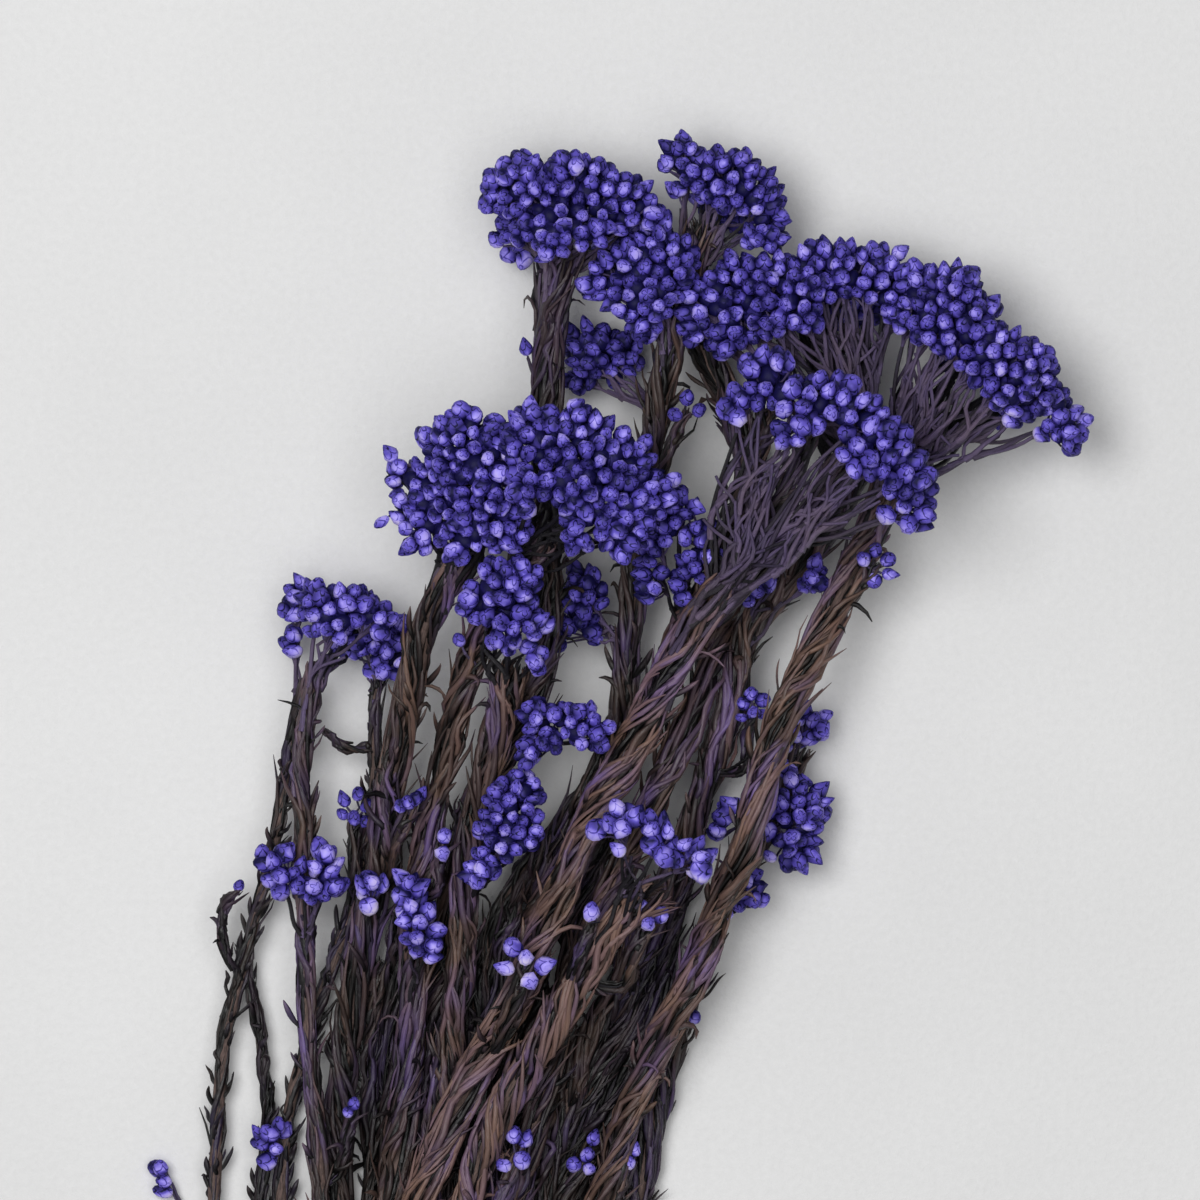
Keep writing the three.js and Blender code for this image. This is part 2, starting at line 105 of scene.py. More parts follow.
# Each stem: its row (0 lowest) and place in the band, the Y of its cut end, the Y where its leaves
# stop, the radius of its leaf cover, the length in which its leaves turn once round it, how many of
# its leaves stand away, how tan they are and how light they are painted, a painted shade that
# darkens the stems lying low in the bunch, the length of its buds and how faded they are, mixed with
# painted shade that darkens heads lying in shadow, the course of the wood from under its head to the
# band, how high the head stands at some places, and the outlines of its parts from above. STEM_PLAIN
# has
# what most stems share: the length of stem that the head's stalks leave from, how many side stalks
# each of them carries, and the low clusters that the head rests on.
STEM_PLAIN = dict(fan=14, links=1, props=[])
STEMS = [
    dict(row=1, place=-3, cut=-226, bare=-104, leaf=1.3, turn=103, spiky=0.5, warm=0.25, shade=0.3,
        bud=4.4, fade_and_shade=0.6,
        course=[(-80, 94, 16), (-84, 75, 14), (-87, 56, 13), (-94, 29, 10), (-100, 4, 8),
            (-102, -21, 7), (-103, -71, 7), (-96, -138, 8)],
        heights=[(-82, 116, 16), (-81, 104, 14)],
        outlines=[[(-86, 113.5), (-83, 116.5), (-83, 119.5), (-80.5, 122.5), (-78, 121), (-79, 115),
            (-79.5, 108), (-79.8, 100.5), (-82.5, 100.5), (-85.5, 105), (-84.5, 108), (-82, 110)]]),
    dict(row=1, place=-2, cut=-231, bare=-112, leaf=2.0, turn=-117, spiky=0.12, warm=0.3, shade=0.7,
        bud=4.7, fade_and_shade=0.75,
        props=[(-67, 110, 12, 8.5)],
        course=[(-77, 97, 24), (-80, 74, 21), (-79, 39, 17), (-79, 14, 15), (-76, -24, 14),
            (-74, -71, 13), (-76, -134, 10)],
        heights=[(-74, 113, 30), (-66, 115, 34), (-60, 113, 28)],
        outlines=[[(-80, 119), (-77, 121), (-73, 120), (-69, 121.2), (-65.5, 119.5), (-60.5, 118.8),
            (-59.5, 115.5), (-57, 113.5), (-55.5, 110), (-60, 106.5), (-64, 108), (-67, 105.5),
            (-69.5, 104.5), (-72, 105), (-75.5, 106.5), (-80, 107.5)]]),
    dict(row=0, place=-2.5, cut=-222, bare=-98, leaf=1.4, turn=110, spiky=0.45, warm=0.2,
        shade=0.35, bud=4.6, fade_and_shade=0.75,
        course=[(-62, 94, 14), (-62, 69, 12), (-67, 42, 9), (-76, 14, 7), (-84, -14, 6),
            (-86, -44, 6), (-84, -96, 6), (-80, -144, 5)],
        heights=[(-60, 103, 13), (-55, 108, 15), (-58, 98, 12)],
        outlines=[[(-66, 108), (-60, 108), (-56, 112), (-52.5, 113), (-51.2, 110), (-52.8, 104.5),
            (-52.5, 97.5), (-58, 95.5), (-61.5, 95.5), (-63.5, 98.5), (-62, 102), (-66, 101.2),
            (-70, 102), (-68.5, 105)]]),
    dict(row=0, place=-1.5, cut=-233, bare=-92, leaf=3.5, turn=-90, spiky=0.14, warm=0.3, shade=0.6,
        bud=4.8, fade_and_shade=0.9, fan=18,
        course=[(-40, 125, 38), (-48, 112, 33), (-53, 92, 27), (-58, 69, 22), (-61, 46, 17),
            (-66, 24, 12), (-69, 4, 8), (-71, -24, 6), (-71, -71, 6), (-74, -141, 5)],
        heights=[(-50, 154, 47), (-40, 158, 54), (-36, 148, 60), (-53, 142, 45), (-45, 133, 50),
            (-33, 133, 55)],
        outlines=[[(-58, 136.5), (-55.5, 134), (-53.5, 133), (-56, 130), (-53, 127.8), (-46, 127),
            (-43.5, 126.5), (-40, 124.3), (-37, 127), (-31, 127), (-26, 128), (-22.5, 133),
            (-24, 143), (-26, 150), (-28, 157), (-30.5, 162), (-35, 164.3), (-40, 165.8),
            (-45, 163), (-48, 159.5), (-52, 157), (-50, 152.5), (-57, 150.5), (-58, 145.5),
            (-55.5, 140)]]),
    dict(row=1, place=-1, cut=-224, bare=-106, leaf=3.6, turn=97, spiky=0.07, warm=0.25, shade=0.6,
        bud=4.9, fade_and_shade=0.77, fan=20,
        course=[(-22, 128, 42), (-31, 115, 38), (-38, 100, 33), (-44, 76, 27), (-49, 54, 22),
            (-52, 26, 18), (-53, 4, 15), (-57, -28, 14), (-62, -71, 13), (-70, -136, 10)],
        heights=[(-25, 158, 60), (-14, 160, 62), (-2, 156, 62), (8, 150, 56), (-20, 146, 68),
            (-8, 145, 70), (5, 141, 62), (-4, 132, 62), (-14, 132, 60)],
        outlines=[[(-23, 134), (-21, 139.5), (-17.5, 140), (-15.5, 128), (-11, 126.5), (-6, 129.5),
            (-3, 125.3), (1.5, 126), (4, 131), (8, 134), (12, 138), (14.5, 142), (13.5, 147),
            (9.5, 148), (8.5, 152), (7, 156), (3, 158), (0, 161), (-4, 163), (-8, 162.5),
            (-10.5, 168), (-13, 164.5), (-19, 165.5), (-25, 165.5), (-29, 162), (-29.5, 155),
            (-28, 143)]]),
    dict(row=1, place=0, cut=-219, bare=-96, leaf=3.6, turn=-103, spiky=0.08, warm=0.35, shade=0.7,
        bud=4.9, fade_and_shade=0.82,
        course=[(-28, 94, 36), (-33, 76, 31), (-38, 52, 25), (-40, 26, 20), (-43, 2, 16),
            (-48, -28, 14), (-54, -71, 13), (-65, -136, 10)],
        heights=[(-30, 122, 54), (-25, 124, 54), (-36, 115, 50), (-27, 112, 56), (-25, 106, 52),
            (-20, 100, 44)],
        outlines=[[(-35, 124.5), (-30, 127.8), (-25, 127), (-20.3, 123.5), (-21, 117.5),
            (-19, 112.8), (-16.8, 109), (-20.3, 105.5), (-18, 103), (-17.5, 98.5), (-20, 96.8),
            (-24.5, 98), (-24.5, 102.5), (-29, 101.3), (-33.5, 104), (-34, 108.5), (-37, 109.5),
            (-39.6, 113.5), (-39, 120), (-36, 121)]]),
    dict(row=0, place=-0.5, cut=-230, bare=-110, leaf=3.8, turn=124, spiky=0.15, warm=0.1,
        shade=0.35, bud=4.8, fade_and_shade=0.7, fan=16,
        props=[(-22, 209, 10.5, 8.5), (-2, 207, 12, 8.5)],
        course=[(-16, 198, 28), (-18, 179, 24), (-18, 154, 22), (-18, 126, 24), (-19, 104, 26),
            (-25, 84, 23), (-36, 66, 18), (-41, 46, 14), (-44, 26, 10), (-48, -4, 7), (-54, -34, 6),
            (-60, -78, 6), (-69, -141, 5)],
        heights=[(-34, 214, 26), (-20, 219, 34), (-5, 218, 33), (-14, 207, 40), (5, 213, 33)],
        outlines=[[(-38.5, 213.5), (-34, 217), (-34.5, 220.5), (-31, 225.8), (-27, 226.5),
            (-22, 229.7), (-19, 225.5), (-15, 228.8), (-6, 227.5), (0, 224), (6, 221.3), (8, 218),
            (12, 213), (8, 209), (-2, 205), (-8, 202.5), (-14, 201.2), (-20, 200.2), (-23, 205.5),
            (-28, 202.7), (-33, 206), (-30, 210.5), (-33, 212)]]),
    dict(row=0, place=0.5, cut=-226, bare=-88, leaf=3.2, turn=-110, spiky=0.2, warm=0.35, shade=0.4,
        bud=4.6, fade_and_shade=0.7,
        props=[(11, 198, 12, 8.5)],
        course=[(13, 184, 30), (10, 166, 26), (6, 146, 22), (4, 126, 20), (2, 106, 19),
            (-1, 82, 16), (-9, 66, 14), (-20, 52, 12), (-29, 39, 10), (-34, 24, 8), (-38, 2, 7),
            (-42, -28, 6), (-49, -78, 6), (-64, -141, 5)],
        heights=[(5, 205, 36), (14, 203, 30), (-2, 196, 32), (8, 192, 42), (10, 185, 36)],
        outlines=[[(2, 208), (8, 212), (12, 213), (15, 208.5), (18, 205.5), (20.7, 201.5),
            (19, 195), (16, 190), (12.5, 185), (8.5, 180.8), (4, 182.8), (0, 187.5), (-7, 190.8),
            (-11, 195), (-8, 199.5), (-5, 203)]]),
    dict(row=2, place=-0.5, cut=-228, bare=-116, leaf=4.2, turn=83, spiky=0.05, warm=0.75,
        shade=1.15, bud=5.4, fade_and_shade=0.72, fan=36, links=14,
        course=[(23, 117, 50), (15, 104, 46), (6, 86, 42), (-5, 66, 38), (-14, 46, 34),
            (-22, 26, 31), (-32, 6, 28), (-41, -11, 25), (-50, -34, 22), (-60, -71, 19),
            (-68, -136, 15)],
        heights=[(30, 172, 60), (45, 172, 63), (60, 162, 66), (72, 148, 62), (44, 160, 67),
            (58, 150, 68), (70, 136, 57)],
        outlines=[[(26, 168), (29, 171), (29, 175), (31, 179.7), (37, 177.7), (43, 177.7),
            (44.5, 174), (51, 173.5), (53, 171.2), (58, 171.7), (62.5, 168), (67, 163.5),
            (70.3, 160.5), (72, 157), (75.7, 153), (79.2, 147), (78.7, 140), (75, 135), (73, 131.8),
            (69, 133.3), (63.5, 136), (66, 141), (64, 145), (60, 146), (52, 147.2), (55, 152),
            (54, 156.5), (49, 156), (44, 154), (41.5, 151.3), (36.8, 154.3), (38, 160), (36.5, 164),
            (34, 163), (33, 158.5), (29, 157.5), (26, 160.5), (24.5, 164)]]),
    dict(row=2, place=0.5, cut=-221, bare=-100, leaf=4.0, turn=-76, spiky=0.06, warm=0.8,
        shade=1.15, bud=5.5, fade_and_shade=0.9, fan=22, links=4,
        course=[(5, 41, 42), (-2, 34, 39), (-8, 25, 36), (-14, 14, 33), (-22, 2, 29),
            (-31, -14, 26), (-38, -34, 22), (-49, -71, 19), (-64, -136, 15)],
        heights=[(-5, 60, 53), (4, 61, 57), (12, 55, 60), (18, 50, 55), (0, 52, 52)],
        outlines=[[(-8.7, 61), (-7.5, 63.4), (-4, 61.5), (-3, 64), (1.5, 65.8), (4.8, 65), (6, 63),
            (8.5, 63.5), (10.9, 60.5), (13.7, 60.7), (14.8, 58), (16.8, 59.2), (18.3, 56.5),
            (20.5, 55.5), (23.5, 52.5), (22.3, 47), (20.5, 46.3), (19.2, 43.5), (15, 45.8),
            (15.8, 49.3), (12, 50.2), (9.5, 50), (6.5, 52.5), (5.5, 55.5), (3, 57), (1.3, 55),
            (0, 50), (-2.7, 50.5), (-3, 54), (-1.5, 57), (-4.5, 57.3), (-8, 58)]]),
    dict(row=1, place=1, cut=-232, bare=-94, leaf=3.6, turn=103, spiky=0.12, warm=0.55, shade=0.55,
        bud=4.6, fade_and_shade=0.52, fan=16,
        props=[(26, 217, 11, 8.5)],
        course=[(19, 205, 26), (18, 192, 22), (21, 179, 18), (28, 166, 14), (32, 149, 12),
            (30, 126, 14), (24, 106, 20), (20, 92, 24), (13, 76, 27), (5, 59, 25), (-4, 40, 21),
            (-11, 22, 17), (-17, 2, 15), (-23, -21, 14), (-28, -41, 14), (-40, -81, 13),
            (-59, -136, 10)],
        heights=[(14, 226, 26), (28, 225, 32), (36, 217, 30), (36, 208, 24)],
        outlines=[[(7.8, 225), (11, 230.5), (16, 233), (20, 230), (25.3, 231), (28, 227.5),
            (33, 229), (36.5, 224), (39.3, 219), (41.8, 213), (41, 209), (42.8, 204.5), (38, 202.5),
            (33, 203), (29, 205), (31, 210), (29, 213.5), (25, 213), (21, 213), (18, 214.5),
            (16, 218.5), (13, 215.8), (11, 218), (12, 222), (9.5, 223.5)]]),
    dict(row=0, place=2.5, cut=-225, bare=-108, leaf=3.6, turn=-97, spiky=0.09, warm=0.5,
        shade=0.65, bud=4.7, fade_and_shade=0.62, fan=28, links=5,
        props=[(42, 192, 11, 9), (58, 191, 9.5, 9)],
        course=[(60, 152, 24), (54, 138, 21), (44, 124, 20), (32, 108, 20), (28, 90, 19),
            (21, 69, 16), (15, 52, 13), (8, 35, 10), (-2, 16, 8), (-9, 2, 7), (-15, -16, 6),
            (-20, -38, 6), (-32, -81, 6), (-52, -141, 5)],
        heights=[(20, 188, 32), (33, 195, 30), (30, 182, 34), (49, 198, 31), (42, 190, 40),
            (60, 199, 29), (56, 192, 36), (69, 194, 32)],
        outlines=[[(14, 183), (17, 178), (21, 184), (25, 175.7), (30, 177.3), (34, 180), (38, 181),
            (43, 183), (47, 182), (51, 183.5), (53, 188.5), (57, 191), (62, 189), (66, 184),
            (71, 186), (73, 192), (73, 199), (70, 204), (65, 205.8), (60, 205.3), (56, 206.8),
            (51, 206.8), (47, 205.7), (43, 203), (38, 203), (33, 203.8), (27, 202.8), (24, 199.5),
            (19, 197.5), (14.5, 194)]]),
    dict(row=1, place=2, cut=-229, bare=-102, leaf=3.8, turn=90, spiky=0.08, warm=0.5, shade=0.9,
        bud=4.7, fade_and_shade=0.62, fan=30, links=5,
        props=[(86, 180, 14, 9), (98, 168, 10, 9)],
        course=[(68, 150, 30), (63, 134, 28), (56, 119, 30), (49, 104, 33), (41, 88, 36),
            (36, 73, 37), (32, 56, 36), (26, 43, 32), (20, 26, 27), (15, 15, 23), (9, 3, 19),
            (2, -14, 16), (-4, -34, 14), (-16, -71, 13), (-36, -108, 11), (-53, -136, 10)],
        heights=[(76, 193, 32), (86, 190, 42), (94, 181, 40), (102, 174, 44), (110, 165, 36),
            (107, 158, 26), (97, 166, 40), (80, 183, 41)],
        outlines=[[(67, 184), (73, 181), (77, 178.5), (82, 176), (85, 171.5), (89, 168),
            (92.5, 164), (95.5, 160), (99, 159.5), (102, 162.5), (104, 160), (100.3, 157),
            (103, 154.3), (108, 155), (111, 152), (115, 152.5), (116.7, 157), (117.6, 161),
            (114, 166.5), (112.3, 170), (109, 171.7), (109.3, 177), (106.5, 181.3), (100, 183.3),
            (95.5, 185.7), (94.7, 191.2), (90.7, 194.7), (89.7, 198.7), (84, 200.8), (78, 200.2),
            (73, 199.5), (71, 194)]]),
    dict(row=1, place=3, cut=-223, bare=-90, leaf=3.2, turn=-103, spiky=0.12, warm=0.4, shade=0.6,
        bud=4.7, fade_and_shade=0.62,
        course=[(43, 74, 12), (39, 64, 12), (34, 54, 12), (29, 44, 11), (23, 34, 10), (18, 19, 8),
            (13, 2, 7), (8, -18, 6), (4, -38, 6), (-6, -76, 7), (-28, -114, 8), (-47, -141, 8)],
        heights=[(44, 84, 14), (50, 87, 12), (44, 79, 12)],
        outlines=[[(39.5, 76.3), (38.3, 80.5), (39.7, 83.5), (42, 86), (43.3, 88.5), (45.5, 92.2),
            (48, 90), (50, 91.2), (51.7, 87), (51.3, 85.3), (54.4, 84), (52, 81.5), (48.2, 81.3),
            (47, 77.8), (43.5, 79.3), (41.8, 76.3)]]),
    dict(row=0, place=1.5, cut=-218, bare=-86, leaf=3.6, turn=110, spiky=0.12, warm=0.35, shade=0.5,
        bud=4.6, fade_and_shade=0.2,
        course=[(18, 114, 32), (12, 100, 28), (6, 86, 26), (-2, 70, 23), (-12, 52, 19),
            (-19, 40, 15), (-24, 26, 12), (-28, 12, 9), (-30, -6, 7), (-32, -31, 6), (-40, -78, 6),
            (-58, -141, 5)],
        heights=[(12, 138, 50), (18, 140, 49), (22, 133, 44), (9, 124, 42), (18, 124, 47)],
        outlines=[[(4, 132), (9, 138), (12.5, 146), (15.7, 146), (17, 143), (21.2, 142.2),
            (21.5, 139.7), (18.5, 137), (21, 134.5), (26.3, 136.7), (26.8, 134), (22, 131),
            (17, 130), (13, 128), (9.5, 127.5), (12, 124), (11.3, 118), (7.5, 114.3), (4.3, 114),
            (5, 120), (3, 127)], [(13, 116.5), (13.3, 124), (15.5, 128.7), (18.3, 131),
            (20.5, 133.3), (23.3, 130.3), (26.5, 128), (25, 124.3), (21, 120.3), (17.2, 119.5),
            (16.3, 115.3), (14, 115)]]),
]

# Clusters that leave a stem lower down, named after it
SPRIGS = [
    dict(name="sprig_08_upper", root=(9, 162, 25), bud=4.6, fade_and_shade=0.05,
        heights=[(-5, 178, 14), (2, 176, 12), (-10, 172, 12)],
        outlines=[[(-14.3, 179), (-13.5, 184), (-10, 185.2), (-5, 186), (-2, 184), (1.5, 183.3),
            (7, 181), (5.5, 178.3), (6.7, 176), (3, 171.8), (0.5, 169.3), (-5, 168.8), (-9, 168.2),
            (-12, 169.5), (-16, 170.8), (-13.5, 174)]]),
    dict(name="sprig_08_lower", root=(2, 104, 19), bud=4.6, fade_and_shade=-0.15,
        heights=[(-8, 118, 24), (-9, 112, 20), (-5, 108, 16)],
        outlines=[[(-15.3, 112), (-14.7, 119), (-11.5, 125.3), (-6, 124.7), (-2.8, 119),
            (-2.8, 112), (-2.3, 107), (-6, 104.8), (-9, 108), (-12.5, 106.5), (-17, 102.8),
            (-17.7, 105.5), (-15.3, 109)]]),
    dict(name="sprig_15", root=(5, 83, 25), bud=4.5, fade_and_shade=0.52,
        heights=[(-21, 87, 42), (-10, 85, 44), (-3, 84, 46), (-22, 78, 38)],
        outlines=[[(-25.2, 87), (-23.5, 90.5), (-21, 92.9), (-18.5, 90.2), (-14, 91.4), (-12, 90),
            (-10.5, 92.7), (-6, 90.7), (-4.5, 88.5), (-1, 87.2), (0.5, 83), (-1.5, 80.1),
            (-5, 78.3), (-7.5, 80), (-10.5, 79.1), (-13, 80), (-16, 77), (-19, 76.5), (-21.5, 73),
            (-24.5, 75), (-25.5, 79), (-23.3, 82)]]),
    dict(name="sprig_06", root=(-38, 40, 23), bud=4.5, fade_and_shade=0.72,
        heights=[(-28, 68, 40), (-27, 60, 43), (-28, 53, 42), (-35, 50, 38), (-20, 69, 34)],
        outlines=[[(-32.2, 70.7), (-27.5, 72.9), (-22.5, 74.3), (-19.8, 71.5), (-18.8, 66),
            (-20.3, 62), (-19.5, 57), (-22, 52.3), (-26, 50), (-29.5, 49.3), (-31, 46.3),
            (-34.5, 44.1), (-37, 44), (-39.5, 46.5), (-38.3, 51), (-36.5, 55.5), (-38.2, 58.5),
            (-34.7, 63), (-33.5, 67)]]),
    dict(name="sprig_02", root=(-79, 25, 16), bud=5.0, fade_and_shade=0.87,
        heights=[(-86, 48, 22), (-79, 44, 26), (-72, 47, 24), (-83, 54, 23), (-74, 54, 22)],
        outlines=[[(-91.5, 52.5), (-89.7, 50), (-89.2, 45.5), (-86.5, 42.3), (-83, 41.8),
            (-79.5, 39.3), (-76.5, 39), (-74, 41), (-71.5, 39.5), (-67.3, 43), (-68.1, 48),
            (-69.3, 50.5), (-68.6, 53.2), (-72, 54.7), (-75.5, 56.4), (-77.5, 54), (-78.5, 50),
            (-81, 51.5), (-81.1, 55), (-83, 57.5), (-86.5, 53.7), (-88.5, 54.4), (-90.7, 54.7)]]),
    dict(name="sprig_04", root=(-64, 29, 13), bud=4.9, fade_and_shade=0.92,
        heights=[(-63, 43, 27)],
        outlines=[[(-67, 44.5), (-66.7, 41.8), (-64.3, 41), (-65, 37.3), (-62.5, 37.5), (-60, 41.3),
            (-57.8, 45.5), (-58, 47.7), (-63.7, 47.9), (-64.3, 45.5)]]),
    dict(name="sprig_05", root=(-52, 16, 20), bud=4.9, fade_and_shade=1.0,
        heights=[(-53, 44, 31), (-48, 39, 33), (-50, 32, 33), (-49, 28, 31)],
        outlines=[[(-55.9, 47), (-54, 48.8), (-51.5, 47.5), (-49, 45), (-49, 42), (-46, 41.2),
            (-44.2, 39.8), (-44.8, 36), (-45.2, 32), (-44.7, 28.5), (-44.6, 26.5), (-46.5, 25.6),
            (-48.5, 26.3), (-51.5, 24.8), (-54.2, 26), (-54.2, 29), (-55, 31.5), (-55, 34.5),
            (-57.2, 38.5), (-57.2, 40.7), (-55.2, 43.5)]]),
    dict(name="sprig_14_upper", root=(36, 58, 12), bud=4.8, fade_and_shade=0.62,
        heights=[(28, 66, 21), (23, 58, 19), (38, 66, 23), (42, 60, 20), (49, 66, 12), (44, 53, 13),
            (44, 73, 14)],
        outlines=[[(31, 58.5), (33, 55.3), (35, 57.3), (38.5, 57), (38.7, 53), (36.3, 51.5),
            (37.3, 47.6), (40.5, 49.8), (44, 48.6), (47, 49.8), (49.7, 52), (49.7, 56.5),
            (51, 60.5), (52.9, 62.3), (52.2, 66.5), (50, 69.8), (46.9, 69.3), (48.5, 73.8),
            (45.5, 72.8), (42.5, 75.2), (39.1, 73), (38.8, 69.8), (35.3, 68.7), (33, 64),
            (34.3, 60.3)], [(19.8, 56.5), (23, 61), (25, 64.5), (27.5, 67.5), (30.8, 72), (31, 66),
            (29.5, 61.5), (28, 58.3), (24, 57.3), (22, 55.6)]]),
    dict(name="sprig_14_lower", root=(23, 34, 10), bud=4.5, fade_and_shade=0.52,
        heights=[(30, 45, 21), (34, 42, 17), (36, 38, 14)],
        outlines=[[(26.8, 44), (27.3, 47.7), (31, 49.4), (34.7, 48.4), (35.2, 44), (38.8, 42),
            (35.7, 40.5), (37.5, 36.3), (35.5, 36), (34, 39.3), (31, 38), (28, 38.3), (24.3, 37.1),
            (25, 40), (27.8, 41)]]),
    dict(name="sprig_12", root=(31, 104, 20), bud=4.6, fade_and_shade=0.35,
        heights=[(48, 121, 30), (34, 119, 27)],
        outlines=[[(43.3, 121), (45, 117), (50, 116.7), (51.2, 122), (51.7, 128.3), (48, 128.3),
            (46, 124.5)], [(29, 116.3), (32, 114.7), (36, 117.5), (38.9, 120), (38, 122.5),
            (34, 121.3), (31, 119)]]),
    dict(name="sprig_03", root=(-85, -34, 6), bud=4.7, fade_and_shade=0.62,
        heights=[(-87, -20, 10)],
        outlines=[[(-91.2, -17), (-89, -13.7), (-86.5, -12.8), (-83.3, -13.5), (-82, -17),
            (-83, -20), (-84.3, -24), (-87, -27), (-90.3, -25), (-90.7, -21)]]),
    dict(name="sprig_01", root=(-102, -48, 7), bud=4.1, fade_and_shade=0.62,
        heights=[(-114, -28, 4)],
        outlines=[[(-117, -25), (-115.5, -23.7), (-113, -24.5), (-112.5, -27.5), (-111.3, -30),
            (-111.8, -33), (-115, -33), (-115.2, -29), (-117, -27)]]),
]
